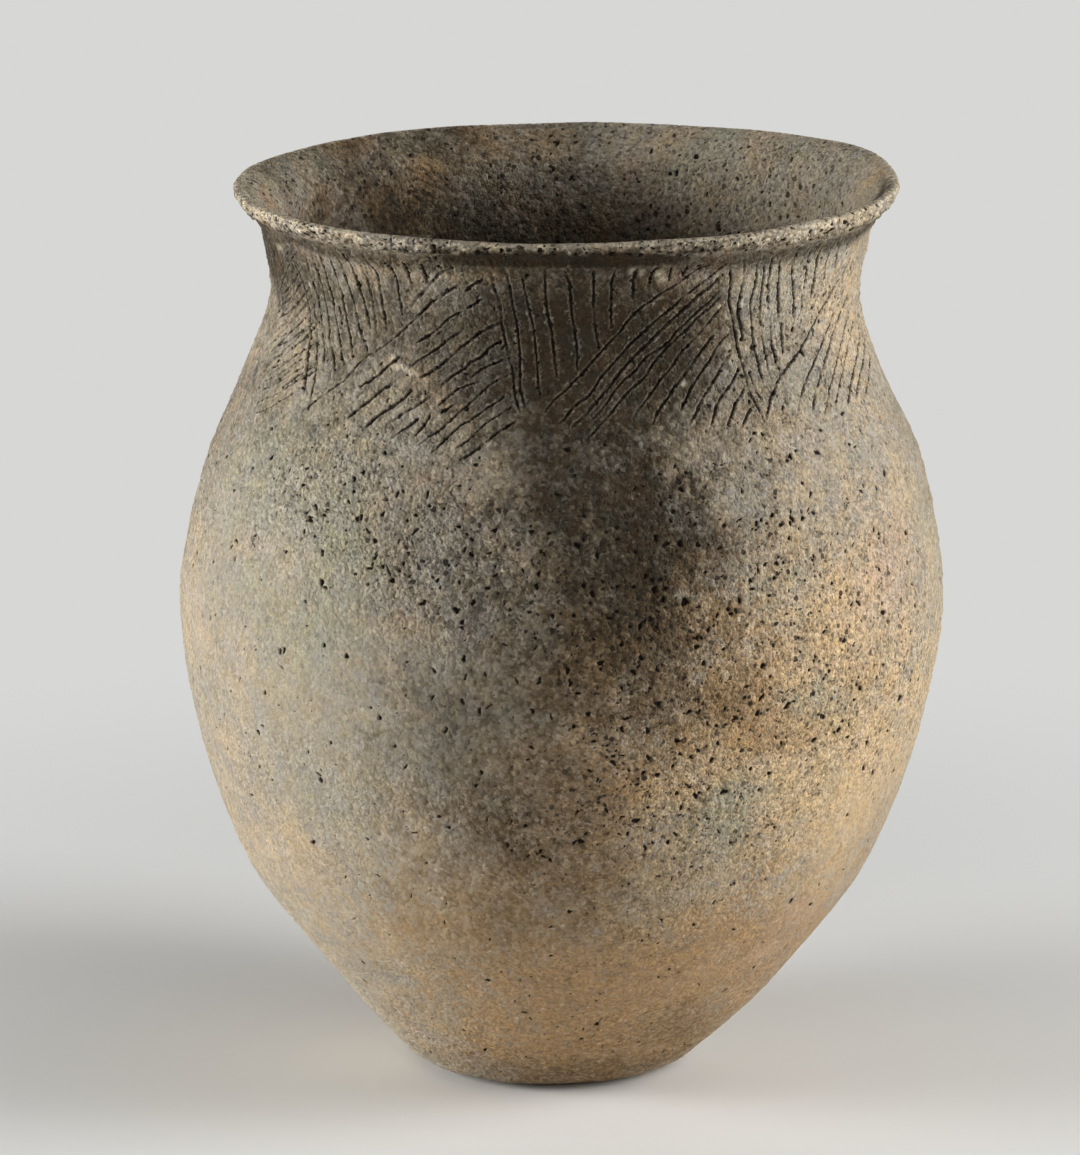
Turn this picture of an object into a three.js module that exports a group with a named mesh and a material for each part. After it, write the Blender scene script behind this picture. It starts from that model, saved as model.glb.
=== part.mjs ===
// Incised pottery jar, built by hand from coils of clay: a flat base disc, twelve wall coils, three neck
// coils and a flared lip coil. Each coil lies flat on the one below, and firing joined them.
// Millimetres, +Z up, origin at the centre of the foot's flat face. +X is the jar's fuller side, and
// the angle round the jar runs from +X towards +Y.
import * as THREE from 'three';
import { mergeVertices } from 'three/addons/utils/BufferGeometryUtils.js';

// Outline of the outside, from the foot up to the seam under the lip: the heights up to the belly are
// measured from the foot, those of the shoulder and the neck follow down from the rim, and the upper
// neck is as wide as the mouth lets it be
const footRadius = 38;
const heelHeight = 3;
const heelRadius = 47;
const lowerWallHeight = 30;
const lowerWallRadius = 73.2;
const flankHeight = 75;
const flankRadius = 105.8;
const bellyHeight = 150;
const bellyRadius = 126.6;
const rimHeight = 299.2;
const lipCoilHeight = 13.2;
const collarHeight = rimHeight - lipCoilHeight;
const mouthRadius = 109.8;
const lipOverhang = 9.2;
const collarRadius = mouthRadius - lipOverhang;
const upperNeckHeight = 24;
const throatHeight = collarHeight - upperNeckHeight;
const collarFlare = 3.6;
const throatRadius = collarRadius - collarFlare;
const lowerNeckHeight = 24;
const napeHeight = throatHeight - lowerNeckHeight;
const napeRadius = 104.7;
const upperShoulderHeight = 33;
const shoulderHeight = napeHeight - upperShoulderHeight;
const shoulderRadius = 118.8;

// How far the hand-built wall leans towards +X at those heights, from the middle of the foot
const heelLean = -3;
const lowerWallLean = -0.7;
const flankLean = -0.7;
const bellyLean = 0.2;
const shoulderLean = 1.3;
const napeLean = 0.5;
const throatLean = 1.6;
const collarLean = 1.7;

// Clay
const wallThickness = 6.5;
const floorThickness = 11;
const wallCoilCount = 12;
const neckCoilCount = 3;

// Lip: a coil pressed outwards, with a narrow face that stands proud of the neck
const lipFaceHeight = 5.2;
const lipFaceDrawIn = 2.7;
const lipUndercutDepth = 3.6;
const lipUndercutHeight = 2.2;
const lipThickness = 4.6;
const lipCrestRounding = 1.3;

// How uneven the lip is round the jar: its height, and the height of its face
const rimTilt = 0.6;
const rimSwell = 2.4;
const rimSwellAngle = THREE.MathUtils.degToRad(26);
const rimSwellSpread = THREE.MathUtils.degToRad(26);
const lipFaceTilt = 0.7;
const lipFaceVariation = 0.4;

// Fineness of the surfaces
const columns = 48;
const rowsPerCoil = 2;
const lipInnerRows = 3;

// Colours of the fired clay, browned and smoked differently from foot to lip
const baseColour = 0x8a775e;
const wallColour = 0x85786a;
const neckColour = 0x6f645a;
const lipColour = 0x9c9080;

const stations = [
  { height: 0, radius: footRadius, lean: 0 },
  { height: heelHeight, radius: heelRadius, lean: heelLean },
  { height: lowerWallHeight, radius: lowerWallRadius, lean: lowerWallLean },
  { height: flankHeight, radius: flankRadius, lean: flankLean },
  { height: bellyHeight, radius: bellyRadius, lean: bellyLean },
  { height: shoulderHeight, radius: shoulderRadius, lean: shoulderLean },
  { height: napeHeight, radius: napeRadius, lean: napeLean },
  { height: throatHeight, radius: throatRadius, lean: throatLean },
  { height: collarHeight, radius: collarRadius, lean: collarLean },
];

// Slope of one quantity at each station: that of the straight line between its neighbours
function stationSlopes(quantity) {
  return stations.map((station, i) => {
    const below = stations[Math.max(i - 1, 0)];
    const above = stations[Math.min(i + 1, stations.length - 1)];
    return (above[quantity] - below[quantity]) / (above.height - below.height);
  });
}

// One quantity as a smooth curve over the height, through every station
function smoothCurve(quantity) {
  const slopes = stationSlopes(quantity);
  return (height) => {
    const above = stations.findIndex((station) => station.height >= height);
    const i = above < 0 ? stations.length - 2 : Math.max(above - 1, 0);
    const low = stations[i];
    const high = stations[i + 1];
    const step = high.height - low.height;
    const t = (height - low.height) / step;
    const startWeight = (1 + 2 * t) * (1 - t) ** 2;
    const startSlopeWeight = t * (1 - t) ** 2 * step;
    const endSlopeWeight = t ** 2 * (t - 1) * step;
    return startWeight * low[quantity] + (1 - startWeight) * high[quantity]
      + startSlopeWeight * slopes[i] + endSlopeWeight * slopes[i + 1];
  };
}

const outerRadius = smoothCurve('radius');
const leanAt = smoothCurve('lean');

// The wall is equally thick square to its slope, so a sloping wall is wider along the horizontal
function innerRadius(height) {
  const reach = 0.5;
  const slope = (outerRadius(height + reach) - outerRadius(height - reach)) / (2 * reach);
  return outerRadius(height) - wallThickness * Math.sqrt(1 + slope ** 2);
}

function rimHeightAt(angle) {
  const fromSwell = Math.atan2(Math.sin(angle - rimSwellAngle), Math.cos(angle - rimSwellAngle));
  const swell = rimSwell * Math.exp(-((fromSwell / rimSwellSpread) ** 2));
  return rimHeight + rimTilt * Math.cos(angle) + swell;
}

function lipFaceHeightAt(angle) {
  return lipFaceHeight + lipFaceTilt * Math.cos(angle) + lipFaceVariation * Math.cos(2 * angle);
}

// Skins rings of points into one closed body. Each ring runs anticlockwise seen from above, and the
// rings follow the section up the outside and down the inside. A closed section meets itself, and an
// open one is a solid disc with a flat cap at both ends.
function skin(rings, closedSection) {
  const positions = rings.flat(2);
  const indices = [];
  const ringCount = rings.length;
  const strips = closedSection ? ringCount : ringCount - 1;
  for (let ring = 0; ring < strips; ring += 1) {
    const next = (ring + 1) % ringCount;
    for (let column = 0; column < columns; column += 1) {
      const beside = (column + 1) % columns;
      const a = ring * columns + column;
      const b = ring * columns + beside;
      const c = next * columns + beside;
      const d = next * columns + column;
      indices.push(a, b, c, a, c, d);
    }
  }
  if (!closedSection) {
    const caps = [{ ring: 0, height: rings[0][0][2] }, { ring: ringCount - 1, height: rings.at(-1)[0][2] }];
    caps.forEach(({ ring, height }) => {
      const centre = positions.length / 3;
      positions.push(leanAt(height), 0, height);
      for (let column = 0; column < columns; column += 1) {
        const a = ring * columns + column;
        const b = ring * columns + ((column + 1) % columns);
        indices.push(centre, ring === 0 ? b : a, ring === 0 ? a : b);
      }
    });
  }
  const geometry = new THREE.BufferGeometry();
  geometry.setAttribute('position', new THREE.Float32BufferAttribute(positions, 3));
  geometry.setIndex(indices);
  const merged = mergeVertices(geometry);
  merged.computeVertexNormals();
  return merged;
}

// Turns a section, given as [radius, height] points that may change with the angle, round the jar
function turned(sectionAt, closedSection) {
  const sections = Array.from({ length: columns }, (unused, column) => {
    const angle = (2 * Math.PI * column) / columns;
    return { angle, points: sectionAt(angle) };
  });
  const rings = sections[0].points.map((unused, i) => sections.map(({ angle, points }) => {
    const [radius, height] = points[i];
    const centre = leanAt(Math.min(height, collarHeight));
    return [centre + radius * Math.cos(angle), radius * Math.sin(angle), height];
  }));
  return skin(rings, closedSection);
}

function heightsBetween(bottom, top, steps) {
  return Array.from({ length: steps + 1 }, (unused, i) => bottom + ((top - bottom) * i) / steps);
}

function coilGeometry(bottom, top) {
  const heights = heightsBetween(bottom, top, rowsPerCoil);
  const outside = heights.map((height) => [outerRadius(height), height]);
  const inside = heights.map((height) => [innerRadius(height), height]).reverse();
  return turned(() => [...outside, ...inside], true);
}

function baseGeometry() {
  const heights = [0, heelHeight, (heelHeight + floorThickness) / 2, floorThickness];
  return turned(() => heights.map((height) => [outerRadius(height), height]), false);
}

// The lip's section: up the undercut and the face, over the crest, and down the flared inside
function lipSection(angle) {
  const crest = rimHeightAt(angle);
  const faceBottom = crest - lipFaceHeightAt(angle);
  const faceBottomRadius = mouthRadius - lipFaceDrawIn;
  const crestRadius = mouthRadius - lipThickness / 2;
  const innerEdgeRadius = mouthRadius - lipThickness;
  const seamInnerRadius = innerRadius(collarHeight);
  const inside = heightsBetween(crest - lipCrestRounding, collarHeight, lipInnerRows).map((height) => {
    const t = (height - collarHeight) / (crest - lipCrestRounding - collarHeight);
    return [seamInnerRadius + (innerEdgeRadius - seamInnerRadius) * t, height];
  });
  return [
    [collarRadius, collarHeight],
    [faceBottomRadius - lipUndercutDepth, faceBottom - lipUndercutHeight],
    [faceBottomRadius, faceBottom],
    [mouthRadius - lipFaceDrawIn / 4, (faceBottom + crest) / 2],
    [mouthRadius, crest - lipCrestRounding],
    [mouthRadius - lipCrestRounding / 2, crest - lipCrestRounding / 3],
    [crestRadius, crest],
    ...inside,
  ];
}

// Colour and dull surface of the fired clay
function firedClay(colour) {
  return new THREE.MeshStandardMaterial({ color: colour, roughness: 0.9, metalness: 0 });
}

function piece(name, geometry, colour) {
  const mesh = new THREE.Mesh(geometry, firedClay(colour));
  mesh.name = name;
  return mesh;
}

// A stack of equal coils between two seams, numbered from the bottom
function coilStack(name, bottom, top, count, colour) {
  const seams = heightsBetween(bottom, top, count);
  return seams.slice(1).map((seam, i) => piece(`${name}_${i + 1}`, coilGeometry(seams[i], seam), colour));
}

const jar = new THREE.Group();
jar.name = 'incised_pottery_jar';
jar.add(piece('base_disc', baseGeometry(), baseColour));
jar.add(...coilStack('wall_coil', floorThickness, napeHeight, wallCoilCount, wallColour));
jar.add(...coilStack('neck_coil', napeHeight, collarHeight, neckCoilCount, neckColour));
jar.add(piece('lip_coil', turned(lipSection, true), lipColour));

export default jar;
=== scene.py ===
"""Incised pottery jar, coil-built of gritty clay and fired in an open fire.

Each coil of the frame is replaced by its own closed, finely modelled coil. All of them are cut from one
pair of surfaces, the outside and the inside of the jar, so that marks and colours run over the seams.
Metres, +Z up. Angles run round the jar from +X towards +Y, so the decorated front faces -90 degrees.
"""

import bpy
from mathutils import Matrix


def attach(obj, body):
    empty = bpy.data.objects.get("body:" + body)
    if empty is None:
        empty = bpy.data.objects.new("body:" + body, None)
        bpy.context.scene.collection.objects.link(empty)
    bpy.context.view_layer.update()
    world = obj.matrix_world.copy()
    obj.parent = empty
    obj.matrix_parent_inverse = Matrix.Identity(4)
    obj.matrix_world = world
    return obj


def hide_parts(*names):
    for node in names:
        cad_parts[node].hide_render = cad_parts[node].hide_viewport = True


bl_info = {
    "name": "Incised pottery jar",
    "version": (1, 0, 0),
    "blender": (4, 5, 0),
    "location": "3D View > Sidebar > Jar",
    "description": "Builds a coil-built earthenware jar with an incised neck",
    "category": "Add Mesh",
}

from functools import lru_cache, partial
import math

import bpy
from bpy.props import FloatProperty, FloatVectorProperty, IntProperty, PointerProperty
import numpy as np

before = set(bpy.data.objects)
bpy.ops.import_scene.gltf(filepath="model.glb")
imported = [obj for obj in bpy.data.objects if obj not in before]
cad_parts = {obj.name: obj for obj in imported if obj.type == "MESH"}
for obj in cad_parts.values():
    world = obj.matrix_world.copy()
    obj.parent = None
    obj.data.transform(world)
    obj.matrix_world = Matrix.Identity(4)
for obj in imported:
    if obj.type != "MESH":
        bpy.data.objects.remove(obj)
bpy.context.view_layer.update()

MM = 0.001
# Strength at which the floor and the world show their colour, so that the backdrop is even
BACKDROP = 0.78
# Points round the jar, and rows up each piece. Every second column goes on down the inside.
OUTER_COLUMNS = 1800
INNER_COLUMNS = OUTER_COLUMNS // 2
WALL_OUTER_ROWS = 47
NECK_OUTER_ROWS = 40
BASE_OUTER_ROWS = 47
WALL_INNER_ROWS = 12
NECK_INNER_ROWS = 26
LIP_INNER_ROWS = 20
# Strips into which a ring's map is cut, and the gap between them
OUTER_STRIPS = 6
INNER_STRIPS = 4
MAP_GAP = 0.004
WALL_COILS = [f"wall_coil_{i}" for i in range(1, 13)]
NECK_COILS = [f"neck_coil_{i}" for i in range(1, 4)]
FIELDS = ("incised", "pitted", "worn", "smoked", "buff", "toasted", "flushed", "ashy", "burnished", "porous")


def linear(hex_colour):
    """Linear RGBA of an sRGB hex colour such as 0x8a775e."""
    channels = [(hex_colour >> shift & 255) / 255 for shift in (16, 8, 0)]
    return [c / 12.92 if c <= 0.04045 else ((c + 0.055) / 1.055) ** 2.4 for c in channels] + [1.0]


# Sizes and colours that a user changes
def size_prop(name, description, default, most):
    return FloatProperty(name=name, description=description, default=default * MM, min=0.0,
                         max=most * MM, precision=5, unit="LENGTH")


class JarForm(bpy.types.PropertyGroup):
    """How uneven the hand-built clay is."""
    lump_depth: size_prop("Lumps", "Depth of the broad hand-building lumps", 0.55, 2)
    scrape_depth: size_prop("Scraping", "Depth of the scraping facets low on the wall", 0.3, 1)
    wipe_depth: size_prop("Wiping", "Depth of the level marks that a wet hand left", 0.06, 0.3)
    rough_depth: size_prop("Roughness", "Depth of the unevenness of the gritty skin", 0.4, 1)
    grain_depth: size_prop("Grain", "Depth of the sandy grain", 0.2, 0.4)
    pit_count: IntProperty(name="Pits", description="Pits left by burnt-out chaff and lost grit",
                           default=4200, min=0, max=20000)
    grit_count: IntProperty(name="Grit", description="Grains that stand proud of the skin",
                            default=3000, min=0, max=8000)


class JarIncising(bpy.types.PropertyGroup):
    """The hatched triangles cut round the neck."""
    stroke_width: size_prop("Stroke width", "Width of a stroke at the surface", 1.05, 3)
    stroke_depth: size_prop("Stroke depth", "Depth of a stroke", 0.75, 2)
    burr_height: size_prop("Burr", "Height of the edge that the tool pushed up", 0.28, 0.5)


class JarLip(bpy.types.PropertyGroup):
    """The coil pressed outwards at the mouth."""
    mouth_radius: size_prop("Mouth radius", "Radius of the lip's outer edge", 109.8, 200)
    rim_height: size_prop("Rim height", "Height of the crest above the foot", 299.2, 400)
    face_height: size_prop("Face height", "Height of the lip's face", 5.8, 15)
    face_draw_in: size_prop("Draw-in", "How far the face draws in at its bottom", 2.7, 8)
    undercut_depth: size_prop("Undercut depth", "How far the undercut lies behind the face", 3.6, 8)
    undercut_height: size_prop("Undercut height", "Height of the undercut below the face", 2.2, 8)
    thickness: size_prop("Thickness", "Thickness of the lip at its crest", 5.2, 15)
    crest_rounding: size_prop("Crest rounding", "How far the crest's corners are worn down", 1.3, 4)
    tilt: size_prop("Tilt", "How much higher the crest is at +X", 0.6, 5)
    swell: size_prop("Swell", "Height of the swelling in the crest", 2.4, 8)
    swell_angle: FloatProperty(name="Swell angle", description="Where the crest swells",
                               default=math.radians(26), subtype="ANGLE")
    swell_spread: FloatProperty(name="Swell spread", description="How far the swelling reaches",
                                default=math.radians(26), subtype="ANGLE")
    face_tilt: size_prop("Face tilt", "How much taller the face is at +X", 0.5, 4)
    face_variation: size_prop("Face variation", "How much the face's height varies", 0.7, 4)
    erosion: size_prop("Erosion", "Depth of the wear along the lip", 0.8, 2)


def colour_prop(name, description, hex_colour):
    return FloatVectorProperty(name=name, description=description, subtype="COLOR", size=4,
                               min=0.0, max=1.0, default=linear(hex_colour))


class JarClay(bpy.types.PropertyGroup):
    """Colours that the clay took on in the fire. The smoke, soot and worn tones also paint shade and light.
    """
    taupe: colour_prop("Taupe", "Clay that fired grey-brown", 0xA39B8D)
    buff_tone: colour_prop("Buff", "Clay that the flame reached", 0xCBB18D)
    toast: colour_prop("Toast", "Orange-brown clay low on the wall", 0xAB8C66)
    flush: colour_prop("Flush", "Pinkish clay", 0xBFA392)
    ash: colour_prop("Ash", "Grey-green bloom", 0x9A9885)
    # the smoke tones also paint shade: under the lip, along its inner edge, low at the front of the foot and
    # deep inside
    smoke: colour_prop("Smoke", "Smoke-darkened clay, brown", 0x3A2D1E)
    cool_smoke: colour_prop("Cool smoke", "Smoke-darkened clay, green-grey", 0x342D20)
    # the soot tone also paints the shade in pits, strokes and chaff holes
    soot: colour_prop("Soot", "Soot in strokes and pits", 0x1E1711)
    grit_tone: colour_prop("Grit", "Pale grit in the clay", 0xD6C8AE)
    # the worn tone also paints light: along the strokes' burrs, low on the left and on the inside's right
    # wall
    worn_tone: colour_prop("Worn", "Bare clay where the lip wore", 0xC9BDA8)


class JarStage(bpy.types.PropertyGroup):
    """Camera, lamps and floor."""
    camera_distance: FloatProperty(name="Camera distance", description="From the camera to the jar's axis",
                                   default=2.4, min=0.5, max=10.0, unit="LENGTH")
    camera_elevation: FloatProperty(name="Camera elevation", description="How steeply the camera looks down",
                                    default=math.radians(13.75), subtype="ANGLE")
    frame_height: FloatProperty(name="Frame height", description="Height that the frame takes in at the jar",
                                default=0.385, min=0.1, max=2.0, unit="LENGTH")
    side_light: FloatProperty(name="Side lamps", description="Power of each side lamp", default=25.0,
                              min=0.0, unit="POWER")
    front_light: FloatProperty(name="Front lamp", description="Power of the soft front lamp", default=0.8,
                               min=0.0, unit="POWER")
    room_light: FloatProperty(name="Room light", description="Strength of the light from all round",
                              default=0.12, min=0.0, max=2.0)
    floor_tone: colour_prop("Floor", "Colour of the floor", 0xF0F0EE)


GROUPS = {"jar_form": JarForm, "jar_incising": JarIncising, "jar_lip": JarLip, "jar_clay": JarClay,
          "jar_stage": JarStage}


def settings_of(*groups):
    """The values of property groups as one tuple, so that the surfaces are made again when one changes."""
    found = []
    for group in groups:
        values = getattr(bpy.context.scene, group)
        found += [(name, getattr(values, name)) for name in GROUPS[group].__annotations__]
    return tuple(found)


# Small helpers
def curve_through(heights, values):
    """A smooth curve through the values. Its slope at each is that of the line between the neighbours."""
    heights, values = np.asarray(heights), np.asarray(values)
    padded_heights = np.concatenate([heights[:1], heights, heights[-1:]])
    padded_values = np.concatenate([values[:1], values, values[-1:]])
    slopes = (padded_values[2:] - padded_values[:-2]) / (padded_heights[2:] - padded_heights[:-2])

    def at(height):
        low = np.clip(np.searchsorted(heights, height, side="right") - 1, 0, len(heights) - 2)
        step = heights[low + 1] - heights[low]
        t = (height - heights[low]) / step
        start = (1 + 2 * t) * (1 - t) ** 2
        bend = t * (1 - t) ** 2 * step * slopes[low] + t ** 2 * (t - 1) * step * slopes[low + 1]
        return start * values[low] + (1 - start) * values[low + 1] + bend
    return at


def smooth_step(value, low, high):
    t = np.clip((value - low) / (high - low), 0, 1)
    return t * t * (3 - 2 * t)


def around(angle):
    """An angle in degrees, brought to between -180 and 180."""
    return (angle + 180) % 360 - 180


@lru_cache(maxsize=None)
def gradients(seed):
    random = np.random.default_rng(seed)
    directions = random.normal(size=(256, 3))
    directions /= np.linalg.norm(directions, axis=1)[:, None]
    return random.permutation(256).astype(np.int32), directions.astype(np.float32)


def clay_noise(points, size, seed):
    """A smooth random value between about -1 and 1 at each point, with lumps of the given size, which is
    one length or one for each axis."""
    order, directions = gradients(seed)
    places = points / np.asarray(size, np.float32)
    cells = np.floor(places)
    x, y, z = np.moveaxis(places - cells, -1, 0)
    cell_x, cell_y, cell_z = np.moveaxis(cells.astype(np.int32) & 255, -1, 0)
    fade_x, fade_y, fade_z = (t * t * t * (t * (t * 6 - 15) + 10) for t in (x, y, z))
    total = np.zeros(x.shape, np.float32)
    for i in (0, 1):
        in_x = order[cell_x + i & 255]
        weight_x = fade_x if i else 1 - fade_x
        for j in (0, 1):
            in_y = order[in_x + cell_y + j & 255]
            weight_y = weight_x * (fade_y if j else 1 - fade_y)
            for k in (0, 1):
                corner = directions[order[in_y + cell_z + k & 255]]
                slope = corner[..., 0] * (x - i) + corner[..., 1] * (y - j) + corner[..., 2] * (z - k)
                total += weight_y * (fade_z if k else 1 - fade_z) * slope
    return total * 1.6


def grid_normals(points):
    """Outward normals of a grid that closes round the jar."""
    along = np.roll(points, -1, axis=1) - np.roll(points, 1, axis=1)
    across = np.gradient(points, axis=0)
    normals = np.cross(along, across)
    return normals / np.maximum(np.linalg.norm(normals, axis=2, keepdims=True), 1e-12)


# The frame's own outline
def read(things, what, width=1, kind=np.float32):
    """A value of each vertex, corner or face of a mesh, as an array with the given number of columns."""
    values = np.empty(len(things) * width, kind)
    things.foreach_get(what, values)
    return values.reshape(-1, width) if width > 1 else values


def cad_rings(node):
    """Height, lean towards +X, and greatest and least radius of each ring of points of a node."""
    points = read(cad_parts[node].data.vertices, "co", 3)
    points = points[np.hypot(points[:, 0], points[:, 1]) > 20 * MM]
    rings = []
    for height in np.unique(points[:, 2].round(5)):
        ring = points[np.abs(points[:, 2] - height) < 1e-5]
        lean = (ring[:, 0].max() + ring[:, 0].min()) / 2
        radius = np.hypot(ring[:, 0] - lean, ring[:, 1])
        rings.append((height, lean, radius.max(), radius.min()))
    return rings


def jar_outline():
    """Outer radius, inner radius and lean as curves over the height, and the heights of the seams."""
    base = cad_rings("base_disc")
    coils = [cad_rings(node) for node in WALL_COILS + NECK_COILS]
    top = coils[-1][-1]
    rings = [ring for coil in coils for ring in coil[:-1]] + [top]
    everything = np.array(base[:-1] + rings)
    upper = np.array(rings)
    return {
        "outer": curve_through(everything[:, 0], everything[:, 2]),
        "inner": curve_through(upper[:, 0], upper[:, 3]),
        "lean": curve_through(everything[:, 0], everything[:, 1]),
        "seams": [coil[0][0] for coil in coils] + [top[0]],
    }


def even_rows(radius, bottom, top, rows):
    """Heights from bottom to top that lie evenly spaced along the outline."""
    fine = np.linspace(bottom, top, 400)
    steps = np.hypot(np.diff(fine), np.diff(radius(fine)))
    length = np.concatenate([[0], np.cumsum(steps)])
    return np.interp(np.linspace(0, length[-1], rows + 1), length, fine)


# One row for each hatched triangle round the neck: angle of the boundary stroke at the top and at the
# bottom, height of the first and of the last slanting stroke's lower end, and how many strokes hang from
# the lip and how many slant up to the next boundary. Degrees and millimetres.
TRIANGLES = [
    (-14, -6, 241, 235, 9, 12),
    (31, 38, 240, 233, 10, 13),
    (76, 84, 243, 237, 10, 13),
    (121, 128, 239, 232, 11, 12),
    (166, 173, 241, 240, 9, 13),
    (212, 219, 238, 230, 10, 14),
]
# Heights in millimetres: of the lip's edge over the strokes, where the front's own strokes stop, where a main
# slanting stroke ends, and where a boundary stroke ends. Then degrees between neighbouring strokes.
STROKE_TOP = 290
FRONT_TOP = 288.8
DIAGONAL_TOP = 288.5
BOUNDARY_LOW = 238
HANGING_SPACING = 3.75
SLANT_SPACING = 2.95

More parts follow.
